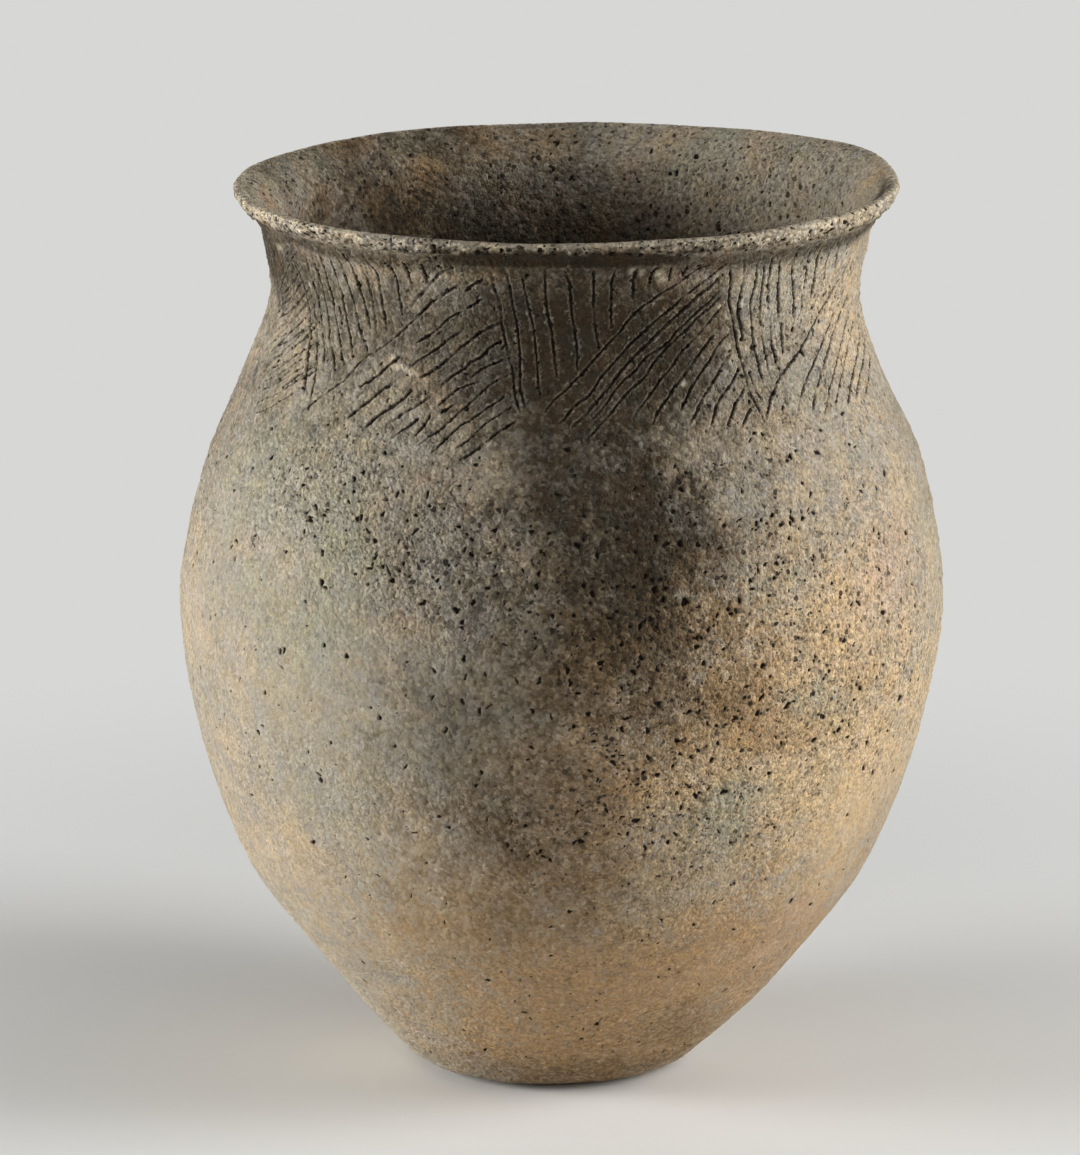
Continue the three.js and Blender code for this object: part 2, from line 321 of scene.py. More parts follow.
# The strokes of the decorated front, each as angle and height, angle and height, and so on
FRONT_STROKES = [
    # left triangle, hanging
    (-152, 281, -150, 274, -148.9, 264, -147.8, 259, -146.7, 253, -145, 247, -143.5, 240.5),
    (-148, 275, -146.7, 264, -144.9, 257, -143.8, 253, -142.3, 247, -141.4, 242, -140.9, 236.7),
    (-147, 283, -145.6, 274, -144.6, 266, -144, 261, -143.1, 258, -141.8, 253.7, -140.6, 249),
    (-145, 286, -143.3, 278, -142.5, 267, -141.8, 262, -140.9, 257.7, -138.7, 253, -137.4, 249),
    (-142.4, 288, -141, 280, -140.3, 271, -139.8, 265, -138.3, 259.7, -137.2, 255.7, -134.6, 250),
    (-139.8, 289, -138.2, 282, -137.1, 274, -136.9, 269, -136.2, 264, -135.1, 259.7, -133.6, 254.3),
    (-137, 290, -135.6, 283, -134.2, 274, -133.6, 268, -132.9, 264, -131.4, 259.7, -130.2, 256.7),
    (-134.4, 291, -132.9, 284, -131.6, 277, -130.7, 270, -130, 265),
    (-131.8, 291, -130.2, 284, -129.2, 279, -128.9, 271, -128.7, 264),
    (-128.9, 291.5, -128.2, 286.5, -126.8, 283, -126.5, 272, -126.1, 264),
    (-124.8, 292, -123.5, 286, -122.6, 282, -122.4, 271),
    (-120.6, 292, -119.9, 285, -119.4, 280.5),
    (-116.9, 292, -116.5, 286.5, -116.2, 282.7),
    (-113.4, 292, -113, 288.4),
    # left triangle, slanting
    (-142.9, 234.7, -140.5, 238.3, -138.7, 241, -135.1, 246.3, -132.2, 252.3, -130.3, 255.7, -128.2, 258,
     -124.9, 262, -121.3, 267.3, -119, 271, -116, 275.7, -113.3, 279.7),
    (-120, 274.6, -117.1, 279.7, -115.1, 283.3, -113.6, 286, -110.8, 288.6),
    (-130.2, 246.3, -127, 250, -124.5, 254.7, -122.2, 257.7),
    (-119.3, 262.3, -117.3, 264.3, -114.7, 267.7, -112.5, 271.3, -109.6, 274),
    (-108.5, 275.3, -105.6, 278.7),
    (-131.4, 235.7, -128.9, 239.7, -127.1, 242.7, -124.9, 246.3, -122.4, 249.8),
    (-120.2, 254.3, -118.2, 257, -116.5, 259, -114, 262.3, -112.2, 265, -110, 267.3),
    (-127, 234, -124.2, 238.7, -120.2, 244.3, -118, 249),
    (-117.3, 251.7, -115.4, 253.7, -113.3, 256.7, -110.3, 261.7, -108.5, 264.3, -105.6, 268, -102.6, 270.7),
    (-122.9, 235.3, -121.1, 238, -118.2, 241.7, -116.5, 243.7, -114.4, 247),
    (-112.7, 250.3, -111.1, 253, -108.9, 255.7, -107.8, 257.7, -105.8, 259.7, -104.2, 263, -102.3, 264.7),
    (-121.5, 231.7, -119.1, 235, -116.9, 238, -116.2, 239.3),
    (-116, 234.3, -115.1, 237, -114, 240.3),
    (-113.3, 243, -111.4, 246.3, -110, 248.7, -108.5, 250, -106, 251.9),
    (-107.4, 253, -105.6, 255.7, -103.6, 257.4, -101.8, 259),
    (-115.1, 232, -112.9, 235, -111.4, 237, -109.3, 241, -107.8, 243.7, -106.3, 246.3, -104.5, 249.7,
     -102.7, 252.3, -100.5, 254.3),
    (-111.9, 241.9, -110.2, 244),
    (-112.5, 230, -110.4, 234, -108.2, 238.3, -106.3, 240.3, -104.2, 243.3, -102, 246, -100.5, 248),
    (-108.2, 231.7, -106.3, 234.3, -104.5, 237.7, -103.4, 239.7, -101.3, 242.3, -99.1, 245),
    (-108.5, 227, -105.6, 230.3, -103.4, 233.7, -102, 236, -99.8, 238.7, -98.2, 240.7),
    (-108.6, 281.3, -107.4, 283, -105.4, 285),
    (-118.4, 271.8, -115.8, 276, -113.1, 279.2, -109.8, 283),
    # middle triangle, hanging
    (-103.6, 291, -103.3, 283, -102.2, 277.7, -102.2, 271, -101.6, 266.3, -100.9, 261, -99.8, 255.7,
     -99.1, 249.7, -98.3, 245.7, -97.3, 241.3),
    (-101, 292, -100.3, 283, -100, 277.7, -99.3, 271, -98.9, 264.3, -98.5, 257.7, -98, 250.3, -96.9, 245),
    (-98.2, 292, -97.8, 284.3, -97.1, 277, -96.3, 271, -95.8, 264.3, -95.2, 255.7, -94.3, 247.7),
    (-93.8, 292, -93.9, 284.3, -93.6, 275.7, -92.9, 269, -92.3, 261.7, -91.6, 254.3),
    (-90.4, 291, -89.5, 284, -89.1, 275, -88.5, 269, -88, 263, -87.8, 256.3),
    (-85.2, 292, -85.1, 283, -84.9, 273, -84.3, 266.3, -83.8, 263),
    (-81.4, 292, -81.8, 284.3, -81.8, 276.3, -81.6, 269.7),
    (-77.5, 292, -77.8, 285.7, -77.8, 279.5),
    (-74, 292, -74.4, 287.7, -75.1, 282.3),
    (-71.1, 291, -71.1, 284.6),
    (-68.2, 291, -68.6, 285.6),
    (-65.6, 291.6, -65.9, 288.6),
    # middle triangle, slanting
    (-93.1, 243.7, -91.8, 247, -89.6, 250.3, -87.4, 254.3, -85.6, 257.7, -83.8, 261, -81.6, 265.3, -80, 268,
     -78.7, 271.3, -76.9, 274.7, -74.7, 277.7, -72.5, 280.3, -70, 282.7, -67.4, 285.7, -65, 288, -62, 290.6),
    (-91.2, 239.3, -89.6, 241.7, -88.2, 245, -86.7, 247, -85.2, 249, -83.1, 254.3, -80.5, 259, -78, 263.7,
     -75.4, 267.7, -72.9, 271.7, -70.7, 274.3, -68.2, 278.3, -66, 281, -63.1, 284.3, -60.2, 288.3),
    (-88.2, 239.3, -86.7, 241.7, -84.2, 246.3, -82.1, 250.3, -79.5, 255.7, -77.3, 259.7, -74.7, 263.7,
     -72.2, 267.7, -69.6, 271.7, -67.4, 275, -65.3, 278.3, -62.7, 281, -60.2, 285),
    (-85.4, 240.6, -83.4, 243.6, -79.8, 251.7, -77.3, 255, -74.7, 259.7, -71.1, 263, -68.9, 267, -66.7, 270.3,
     -64.5, 273.7, -62.3, 276.3, -60.1, 280.6),
    (-86, 235, -83.8, 239, -81.6, 243, -78, 249.7, -75.4, 253, -73.3, 257.7, -71.4, 261, -69.3, 264.3,
     -66.7, 267.7, -64.9, 271, -62.3, 274, -60.2, 277.6),
    (-77.6, 240.3, -76.5, 243.7, -74.7, 247, -72.5, 251.7, -70.4, 255, -68.2, 259.7, -66, 263, -63.8, 266.3,
     -61.6, 270.3, -58.9, 275),
    (-74.2, 239, -72.9, 243, -71.1, 246.3, -69.6, 249.7, -67.4, 253, -65.3, 257, -63.1, 261, -61.3, 264.3,
     -58.4, 269),
    (-68.7, 242.7, -67.4, 245.7, -66, 249.7, -63.8, 253.7, -61.6, 257.7, -59.8, 261.7, -57.8, 264.2),
    (-67.3, 238.3, -66, 241, -64.5, 245, -62.7, 248.3, -60.5, 252.3, -58.7, 256.3, -56.4, 258.7),
    (-64.5, 235, -63.1, 237.7, -62, 241.7, -60.2, 245.7, -58.3, 248.3, -56.9, 251, -55.3, 253.7),
    (-60.3, 236, -59.4, 238.3, -58, 242.3, -56.5, 245, -54.9, 247.7),
    (-57.3, 235.7, -55.8, 238.7, -54, 241.7),
    # right triangle, hanging
    (-59.3, 291, -58.5, 283, -58.3, 275.7, -57.3, 271, -56.2, 264.3, -55.3, 257, -54.5, 250.3, -54, 244.3,
     -52.9, 239.7, -52.2, 236),
    (-56.4, 291, -55.6, 283, -56, 273.7, -55.3, 268.3, -54.5, 263.7, -54.1, 259.7),
    (-53.6, 252.3, -52.9, 247, -51.8, 241.7),
    (-53.2, 291, -52.6, 281, -53.1, 273.7, -52.3, 267.7, -52, 261, -51.4, 255, -50.7, 246.3),
    (-51.3, 290, -51, 281.7, -50.6, 273, -50, 265, -49.4, 259, -48.9, 249.7),
    (-49.9, 291, -49.4, 279.7, -48.7, 272.3),
    (-47.6, 266.7, -47.4, 259, -46.9, 253, -45.8, 250),
    (-47.7, 291, -47.2, 283, -46.5, 275.7, -45.4, 267),
    (-44.5, 264.7, -44.7, 255.7),
    (-44, 291, -43.6, 281, -42.5, 276.3, -41.6, 271, -41.1, 265),
    (-39.9, 291.6, -39.4, 280, -38.9, 267),
    (-36.8, 291.6, -36.3, 273),
    (-33.2, 291, -32.6, 276.5),
    (-29.6, 291, -29.1, 279.5),
    (-26, 291.6, -25.6, 283.5),
    (-22.4, 291, -22.1, 286.5),
    # right triangle, slanting
    (-52.2, 236, -50.7, 240.3, -49.2, 243.7, -47.1, 247.7, -44, 251, -40.5, 254.4, -36, 260, -31, 267,
     -25, 275.5, -19, 285),
    (-44.5, 236.3, -43.1, 239.7, -40.9, 243.7, -38.3, 247.7, -34, 253, -29, 259.5, -22, 269, -16, 279),
    (-40.5, 236, -39.1, 239, -36.5, 243.7, -34, 247.7, -28, 256, -21, 264.5, -15, 273),
    (-37, 235, -34, 240, -29, 247.5, -22, 256, -13.4, 266),
    (-33.4, 236, -30, 241, -24, 248.8, -18, 255, -12.2, 260.6),
    (-29.4, 235, -25, 240.6, -19, 247, -11.4, 254.6),
    (-25.4, 236, -21, 240.5, -15, 245.6, -10.2, 249.4),
    (-21.2, 235, -17, 238.8, -9.4, 244.8),
]


def neck_strokes():
    """Each stroke as points of (angle in degrees, height in millimetres), with its width and depth."""
    random = np.random.default_rng(41)
    strokes = []

    def cut(points, width=1.0, depth=1.0):
        strokes.append((np.array(points, float), width * random.uniform(0.8, 1.15),
                        depth * random.uniform(0.7, 1.15)))

    for stroke in FRONT_STROKES:
        points = np.reshape(stroke, (-1, 2)).astype(float)
        points[:, 1] = np.minimum(points[:, 1], FRONT_TOP)
        cut(points)
    # close, faint strokes where the front turns away to the left
    for k in range(12):
        start, fall = -164 + 0.5 * k, 3.3 * k + random.uniform(-0.5, 0.5)
        cut([(start, 265.5 - fall), (start + 6, 270 - fall), (start + 13, 277.5 - fall)], 0.75, 0.6)

    for triangle, following in zip(TRIANGLES, TRIANGLES[1:]):
        top, bottom, first_low, last_low, hanging, slanting = triangle
        next_top, next_bottom = following[:2]
        bulge = random.uniform(0.6, 1.2)

        def boundary(height, low=bottom, high=top):
            """Angle of a boundary stroke at a height."""
            t = (STROKE_TOP - height) / (STROKE_TOP - BOUNDARY_LOW)
            return high + (low - high) * (0.75 * t + 0.25 * t * t)

        cut([(boundary(h) + random.uniform(-0.2, 0.2), h) for h in (289, 276, 262, 249, BOUNDARY_LOW)], 1.1)
        cut([(boundary(h) + 1.7 + random.uniform(-0.3, 0.3), h) for h in (282, 268, 254, 246)], 0.9)
        apex = bottom + 3.5
        reach = next_top - 1.5 - apex

        def diagonal(t):
            """Point of the main slanting stroke, from the apex at 0 to the next boundary's top at 1."""
            rise = first_low + (DIAGONAL_TOP - first_low) * t
            return apex + reach * (t - 0.16 * bulge * t * (1 - t) * 2), rise

        # the last triangle was cut with a lighter hand
        firm = 0.6 if following is TRIANGLES[-1] else 1.0
        cut([diagonal(t) for t in np.linspace(0, 1, 6)], 1.15 * firm, 1.15 * firm)
        for k in range(hanging):
            angle = top + 3.2 + k * HANGING_SPACING + random.uniform(-0.6, 0.6)
            if angle > next_top - 2.5:
                break
            start = STROKE_TOP + 1.5 - random.uniform(0, 5) * (random.random() < 0.3)
            lean = (bottom - top) * max(0.0, 1 - k / 4.5) - 1.5 * (k / hanging)
            ends = [diagonal(t) for t in np.linspace(0, 1, 30)]
            meets = np.interp(angle + lean * 0.7, [p[0] for p in ends], [p[1] for p in ends])
            stop = max(meets + random.uniform(0.5, 3.5), 243 + 2.2 * k)
            if stop > start - 3:
                continue
            heights = np.linspace(start, stop, 5)
            t = (STROKE_TOP - heights) / (STROKE_TOP - BOUNDARY_LOW)
            bend = random.uniform(-0.25, 0.25)
            cut([(angle + lean * (0.8 * s + 0.2 * s * s) + bend * math.sin(3 * s), h)
                 for s, h in zip(t, heights)], 0.95, 0.9)
        for k in range(1, slanting + 1):
            share = k / slanting
            low_angle = apex - 0.6 + k * SLANT_SPACING + random.uniform(-0.4, 0.4)
            low_height = first_low + (last_low - first_low) * share + random.uniform(-1.5, 1.5)
            high_height = 289 - 3.5 * k + random.uniform(-1.2, 1.2)
            high_angle = boundary(high_height, next_bottom, next_top) - random.uniform(0.2, 1.6)
            if high_angle < low_angle + 2 or high_height < low_height + 3:
                break
            bow = 0.09 * (1 - 0.6 * share) * bulge
            points = []
            for t in np.linspace(0, 1, 5):
                across = t - bow * 4 * t * (1 - t) * 0.5
                points.append((low_angle + (high_angle - low_angle) * across,
                               low_height + (high_height - low_height) * t))
            cut(points, 1.05 * firm, 1.1 * firm)
            if random.random() < 0.22:
                split = random.uniform(0.35, 0.6)
                extra = [(a + 1.4, h - random.uniform(0.2, 0.8)) for a, h in points]
                cut([extra[i] for i in range(5) if i / 4 >= split], 0.8, 0.7)
    return strokes


# Clouds of smoke, flame and ash: angle, height, reach round the jar in degrees, reach up and down in
# millimetres, and strength.
SMOKE_CLOUDS = [
    (-88, 264, 17, 33, 1.0), (-70, 266, 13, 26, 0.95), (-108, 268, 14, 26, 0.62),
    (-132, 270, 18, 20, 0.42), (-150, 276, 16, 18, 0.5), (-46, 252, 12, 20, 0.32),
    (-84, 216, 14, 26, 0.6), (-168, 281, 14, 19, 1.0), (-127, 250, 10, 14, 0.2), (-84, 188, 14, 34, 0.42),
    (-77, 200, 8, 14, 0.36), (-74, 162, 12, 26, 0.4), (-106, 152, 16, 34, 0.38), (-112, 204, 16, 24, 0.3),
    (-14, 284, 9, 10, 0.35), (-97, 114, 14, 22, 0.5), (-102, 74, 18, 22, 0.3), (-84, 88, 12, 18, 0.22),
    # painted shade: the cloud at -80 degrees and 5 mm darkens the front of the foot down towards the floor
    (-80, 5, 60, 9, 0.5), (-152, 236, 16, 18, 0.3), (15, 214, 26, 38, 0.5), (64, 122, 30, 46, 0.8),
    (88, 246, 30, 34, 0.75), (150, 90, 26, 38, 0.6), (178, 220, 22, 30, 0.4), (120, 176, 22, 28, 0.4),
    (-22, 92, 14, 20, 0.25), (-56, 24, 26, 12, 0.4), (36, 262, 24, 24, 0.5), (140, 262, 26, 22, 0.45),
    (-82, 172, 6, 30, 0.3), (-76, 192, 5, 14, 0.35), (-66, 150, 5, 8, 0.3), (-92, 230, 6, 14, 0.3),
    (-65, 204, 8, 15, 0.52), (-86, 214, 7, 8, 0.3), (-97, 174, 7, 14, 0.25), (-126, 260, 8, 9, 0.25),
    (-98, 152, 11, 12, 0.28), (-64, 250, 8, 12, 0.25), (-132, 236, 12, 9, 0.22), (-126, 84, 12, 14, 0.18),
    (-114, 136, 8, 12, 0.2),
]
BUFF_CLOUDS = [
    (-46, 168, 16, 30, 0.75), (-50, 128, 20, 28, 0.8), (-68, 150, 12, 26, 0.6), (-34, 104, 22, 36, 0.7),
    (-76, 118, 12, 18, 0.45), (-26, 196, 16, 34, 0.3), (-22, 268, 16, 24, 0.5), (-172, 150, 16, 46, 0.25),
    (36, 200, 26, 40, 0.7), (108, 96, 28, 36, 0.75), (132, 236, 26, 30, 0.6), (-142, 84, 20, 24, 0.4),
    (8, 140, 22, 34, 0.6), (70, 60, 24, 26, 0.5), (-130, 284, 10, 10, 0.4),
]
TOAST_CLOUDS = [
    (-88, 40, 36, 34, 0.75), (-60, 56, 28, 34, 0.66), (-30, 50, 22, 26, 0.4), (-88, 96, 22, 22, 0.5),
    (-74, 12, 46, 16, 0.8), (-112, 74, 14, 14, 0.5), (-80, 140, 14, 30, 0.35), (-78, 268, 22, 26, 0.55),
    (-54, 150, 14, 20, 0.3), (-140, 36, 28, 24, 0.1), (30, 46, 40, 30, 0.7), (110, 40, 44, 28, 0.7),
    (-178, 40, 24, 28, 0.25), (-117, 112, 9, 9, 0.35), (100, 190, 16, 22, 0.4), (-104, 288, 7, 8, 0.5),
    (-74, 190, 6, 8, 0.4), (-128, 146, 5, 7, 0.3), (-62, 151, 8, 13, 0.65), (-58, 138, 8, 8, 0.55),
    (-37, 152, 6, 8, 0.35), (-81, 126, 4, 7, 0.5), (-76, 179, 5, 7, 0.5), (-88, 160, 6, 22, 0.45),
    (-48, 176, 6, 12, 0.15), (-78, 180, 14, 24, 0.7), (-92, 122, 14, 16, 0.35),
]
FLUSH_CLOUDS = [
    (-31, 185, 11, 20, 0.5), (-145, 193, 5, 7, 0.5), (-112, 222, 2, 3, 0.6), (-135, 177, 5, 7, 0.35),
    (-143, 165, 7, 9, 0.3), (-104, 270, 6, 14, 0.35), (-66, 289, 6, 4, 0.6), (-150, 292, 14, 9, 0.5),
    (-120, 262, 8, 12, 0.3), (-96, 222, 4, 8, 0.3), (-40, 60, 12, 16, 0.3), (60, 190, 16, 20, 0.6),
    (150, 130, 18, 24, 0.5), (104, 268, 14, 14, 0.4),
]
ASH_CLOUDS = [
    (-65, 108, 8, 16, 0.5), (-124, 108, 14, 20, 0.4), (-148, 214, 14, 26, 0.5), (-76, 84, 8, 12, 0.4),
    (-130, 166, 16, 28, 0.45), (-88, 206, 10, 14, 0.35), (50, 164, 18, 22, 0.5), (160, 160, 20, 30, 0.45),
    (-10, 184, 12, 18, 0.3), (-106, 264, 12, 16, 0.5), (-146, 272, 12, 16, 0.5), (-134, 232, 14, 12, 0.4),
    (-125, 203, 5, 14, 0.75), (-128, 172, 6, 8, 0.5), (-141, 177, 6, 9, 0.4), (-54, 187, 4, 5, 0.4),
    (-49, 147, 5, 10, 0.5), (-42, 141, 4, 6, 0.3), (-63, 114, 6, 8, 0.4), (-44, 115, 5, 6, 0.35),
]
PALE_MARKS = [
    (-123.6, 256, 0.9, 1.3, 0.95), (-122.2, 254.4, 1.1, 0.9, 0.95), (-120.4, 253.6, 1.2, 0.7, 0.8),
    (-118.6, 252.4, 1.0, 0.6, 0.7), (-126, 272, 0.7, 0.9, 0.6), (-130.2, 272, 0.6, 0.8, 0.6),
    (-77.4, 288.4, 0.6, 1.1, 0.7), (-72.2, 287, 0.9, 1.2, 0.8), (-71.4, 284.8, 0.7, 0.8, 0.7),
    (-75.6, 287.6, 0.5, 0.9, 0.6), (-67, 250.6, 0.5, 0.7, 0.8), (-59.3, 274, 0.6, 0.8, 0.8),
    (-72, 187.9, 0.9, 1.1, 0.85), (-107, 169.5, 0.5, 1.0, 0.6), (-62, 134, 0.6, 0.8, 0.6),
    (-157, 284, 1.4, 0.8, 0.7), (-146.8, 274.6, 0.6, 0.8, 0.7), (-99, 196, 0.5, 0.6, 0.7),
    # the broad mark low on the left, at -167 degrees, is painted light, which lifts that side of the foot as
    # a low lamp would
    (-167, 34, 19, 34, 0.62), (60, 210, 1.2, 1.1, 0.7), (132, 128, 0.8, 1.4, 0.6),
]
# Parts of the wall with crowded pits, in the same form
PITTED_AREAS = [
    (-88, 186, 14, 34, 1.0), (-78, 140, 22, 46, 0.9), (-56, 168, 20, 40, 0.7), (-110, 196, 18, 14, 0.8),
    (-130, 218, 13, 17, 0.65), (-146, 200, 10, 14, 0.4), (-152, 172, 8, 20, 0.35), (-140, 120, 12, 16, 0.3),
    (-60, 96, 20, 26, 0.4), (-96, 108, 18, 24, 0.35), (-85, 30, 30, 22, 0.3), (-30, 150, 16, 50, 0.4),
    (40, 160, 30, 50, 0.7), (110, 120, 34, 50, 0.6), (170, 200, 26, 40, 0.6), (-40, 262, 20, 24, 0.5),
]
# Pits that stand out at the front: angle, height, length and width in millimetres, and turn in degrees
MARKED_PITS = [
    (-121.4, 228.2, 1.6, 1.0, -20), (-124.8, 221.7, 1.5, 1.1, -45), (-104.6, 227.1, 1.6, 1.1, 0),
    (-123.7, 233.5, 1.2, 0.7, 0), (-125.9, 215.7, 1.2, 0.7, -30), (-124.2, 207.7, 1.8, 1.0, 75),
    (-121.9, 204.4, 2.6, 0.8, -40), (-120.4, 201.8, 2.4, 1.0, -45), (-119.7, 210.2, 2.0, 1.0, 80),
    (-117.6, 216.7, 2.2, 1.0, 70), (-116.6, 217.7, 1.4, 0.8, 80), (-117.5, 224.8, 1.2, 0.8, 0),
    (-113.9, 211.0, 1.4, 1.0, 0), (-112.3, 217.5, 2.6, 0.8, 80), (-113.7, 206.2, 3.2, 0.9, 45),
    (-115.3, 209.2, 1.1, 0.9, 0), (-106.6, 208.7, 1.5, 1.1, -20), (-104.4, 205.0, 1.4, 0.9, -60),
    (-105.2, 206.5, 1.0, 0.8, 0), (-134.3, 200.8, 1.4, 1.1, 0), (-132.0, 200.0, 1.5, 0.8, 0),
    (-137.5, 193.2, 1.5, 1.0, -30), (-145.7, 195.2, 1.3, 0.8, 0), (-128.9, 186.4, 2.4, 1.1, -60),
    (-128.1, 185.0, 2.0, 0.9, -25), (-119.9, 196.7, 2.2, 0.9, 70), (-117.4, 193.2, 4.2, 0.7, -55),
    (-115.7, 193.5, 1.4, 0.9, -30), (-114.5, 199.3, 1.1, 0.8, 0), (-115.1, 195.8, 1.6, 0.7, 80),
    (-111.8, 197.2, 1.0, 0.8, 0), (-107.8, 196.7, 1.2, 0.8, -40), (-111.3, 184.2, 1.9, 1.2, 0),
    (-103.5, 185.8, 2.0, 1.3, -70), (-108.8, 189.6, 1.4, 0.7, 60), (-105.9, 191.7, 1.5, 0.8, -70),
    (-113.9, 192.2, 1.2, 0.8, 90), (-120.6, 188.1, 1.2, 0.8, 0), (-123.0, 190.8, 2.2, 0.6, 15),
    (-130.0, 231.4, 1.1, 0.9, 0), (-134.9, 233.5, 1.1, 0.9, 0), (-135.4, 217.3, 1.1, 0.9, 0),
    (-107.0, 220.7, 1.2, 0.7, 0), (-109.3, 213.8, 1.0, 0.8, 0), (-93.7, 202.2, 1.2, 0.9, -20),
    (-95.3, 209.8, 1.1, 0.8, 0), (-89.3, 165.2, 2.2, 1.5, 90), (-89.0, 161.7, 1.6, 0.9, -70),
    (-93.4, 161.2, 1.4, 1.1, -20), (-88.6, 182.5, 1.6, 1.0, 60), (-104.0, 162.0, 2.4, 0.7, 80),
    (-104.4, 154.0, 3.0, 0.8, -70), (-108.7, 163.3, 2.0, 0.8, -60), (-101.9, 151.2, 2.4, 0.9, 80),
    (-108.9, 154.6, 2.2, 0.7, 50), (-55.1, 233.4, 1.4, 1.0, -20), (-56.3, 231.5, 1.8, 0.7, 45),
    (-69.5, 224.3, 1.2, 1.1, 0), (-72.8, 213.2, 1.4, 1.1, -40), (-72.9, 217.5, 1.2, 0.9, 0),
    (-74.1, 224.5, 1.3, 0.8, 0), (-49.0, 224.8, 2.0, 1.4, -80), (-50.1, 223.8, 1.8, 0.9, 30),
    (-47.5, 226.1, 1.1, 0.9, 30), (-48.4, 216.5, 1.3, 1.1, -20), (-47.3, 212.9, 2.4, 0.8, 45),
    (-64.7, 207.7, 1.4, 1.1, 0), (-58.1, 207.9, 1.1, 1.0, 0), (-57.2, 206.5, 1.3, 0.8, -60),
    (-54.5, 205.4, 1.6, 1.2, 80), (-52.7, 205.4, 1.4, 1.3, 0), (-50.1, 206.2, 1.6, 1.2, 0),
    (-48.6, 208.5, 1.8, 0.6, 40), (-74.5, 203.5, 2.6, 1.3, 10), (-72.3, 203.4, 2.2, 1.5, 45),
    (-77.9, 194.1, 1.6, 1.2, -30), (-77.0, 192.7, 1.4, 1.2, -60), (-76.7, 189.8, 2.0, 1.5, 0),
    (-72.0, 185.3, 2.5, 2.3, 80), (-61.2, 189.8, 1.6, 1.3, 0), (-65.2, 181.6, 1.4, 1.0, 0),
    (-56.3, 193.9, 1.8, 1.3, -70), (-55.0, 193.8, 1.4, 0.8, 60), (-55.7, 195.7, 1.0, 0.8, 0),
    (-58.1, 184.3, 1.2, 1.0, 0), (-51.4, 187.0, 1.2, 0.9, -45), (-49.4, 192.9, 1.2, 1.0, 0),
    (-43.2, 199.1, 1.5, 0.7, 0), (-70.4, 170.9, 2.2, 1.2, -30), (-68.6, 175.9, 1.4, 1.1, 0),
    (-67.7, 177.1, 1.2, 0.7, -30), (-79.8, 164.1, 2.4, 1.2, -60), (-59.7, 162.3, 1.8, 1.3, -75),
    (-77.4, 158.5, 1.1, 1.0, 0), (-57.9, 168.4, 1.2, 0.9, 0), (-51.4, 158.2, 1.1, 1.1, 0),
    (-41.1, 160.5, 1.4, 0.9, 0), (-62.6, 152.5, 1.6, 1.2, -70), (-34.7, 170.3, 2.2, 1.5, -25),
    (-40.1, 147.5, 1.8, 1.7, 0), (-41.3, 144.1, 1.4, 1.0, 0), (-47.8, 141.0, 1.6, 1.4, -20),
    (-49.1, 142.5, 1.1, 0.8, -20), (-72.9, 140.2, 1.8, 1.4, 0), (-72.3, 135.6, 1.6, 1.0, -20),
    (-66.4, 138.0, 1.4, 1.1, -30), (-67.1, 132.3, 1.8, 1.3, 40), (-70.4, 133.8, 1.3, 0.8, -20),
    (-41.4, 131.4, 2.0, 1.1, -10), (-44.7, 134.3, 1.5, 1.0, -45), (-36.0, 127.0, 2.2, 1.2, -30),
    (-27.8, 138.2, 3.2, 2.4, 0), (-56.8, 124.8, 1.5, 1.2, -20), (-55.2, 130.0, 1.1, 0.8, -20),
    (-78.3, 113.0, 2.6, 1.7, 15), (-72.2, 121.8, 2.0, 0.9, -70), (-70.2, 123.5, 1.3, 0.9, 0),
    (-35.0, 117.5, 2.4, 1.6, -50), (-31.5, 114.3, 2.2, 1.4, -30), (-76.6, 117.7, 1.3, 1.0, -60),
    (-81.3, 145.5, 2.0, 1.2, -60), (-82.3, 134.1, 2.4, 1.0, -65), (-78.6, 126.2, 1.4, 0.8, 20),
    (-83.0, 117.3, 2.4, 0.9, -75), (-26.5, 212.3, 2.4, 1.8, 60), (-33.6, 223.9, 1.8, 1.0, 10),
    (-34.4, 211.2, 1.5, 1.1, 0), (-32.9, 195.2, 1.8, 1.0, 0), (-24.4, 191.8, 2.0, 1.5, 0),
    (-40.4, 175.5, 1.5, 1.1, 0), (-35.0, 173.5, 1.5, 1.2, 0), (-42.1, 193.2, 1.0, 0.9, 0),
]
# Torn places in the lip's face: angle, row above the lip coil's seam, length in millimetres, and turn
LIP_PITS = [
    (-105, 27, 2.4, 30), (-103.5, 25, 1.6, 0), (-101, 27, 2.2, 80), (-99.6, 29, 1.8, 0),
    (-98.6, 25, 2.0, 45), (-94.5, 29, 2.6, 75), (-88.6, 27, 1.5, 0), (-82.5, 26, 2.2, 20),
    (-79.8, 24, 3.2, 30), (-77.4, 24, 2.0, 0), (-75.6, 30, 1.8, 0), (-74.2, 26, 1.6, 60),
    (-110.4, 26, 1.5, 90), (-118.2, 24, 1.8, 85), (-127, 22, 2.4, 10), (-129.5, 26, 1.6, 30),
    (-134.6, 30, 2.0, 0), (-138.5, 27, 2.2, 45), (-141, 24, 2.6, 20), (-66.4, 24, 2.2, 40),
    (-63.2, 27, 1.8, 10), (-58.6, 26, 1.5, 0), (-54.8, 29, 2.0, 60), (-50.2, 26, 2.2, 35),
    (-44.6, 30, 1.6, 0), (-39.4, 27, 2.6, 30), (-35, 31, 2.0, 20), (-31.2, 26, 1.8, 0),
    (-147, 28, 1.5, 0), (-112.6, 30, 2.6, 70),
]
BURNISHED_AREAS = [
    (-104, 152, 12, 22, 0.9), (-122, 146, 16, 26, 0.7), (-110, 84, 18, 20, 0.6), (-150, 160, 16, 50, 0.5),
    (-28, 84, 14, 26, 0.6), (60, 200, 22, 30, 0.6), (140, 130, 24, 36, 0.6), (-134, 60, 16, 20, 0.5),
]


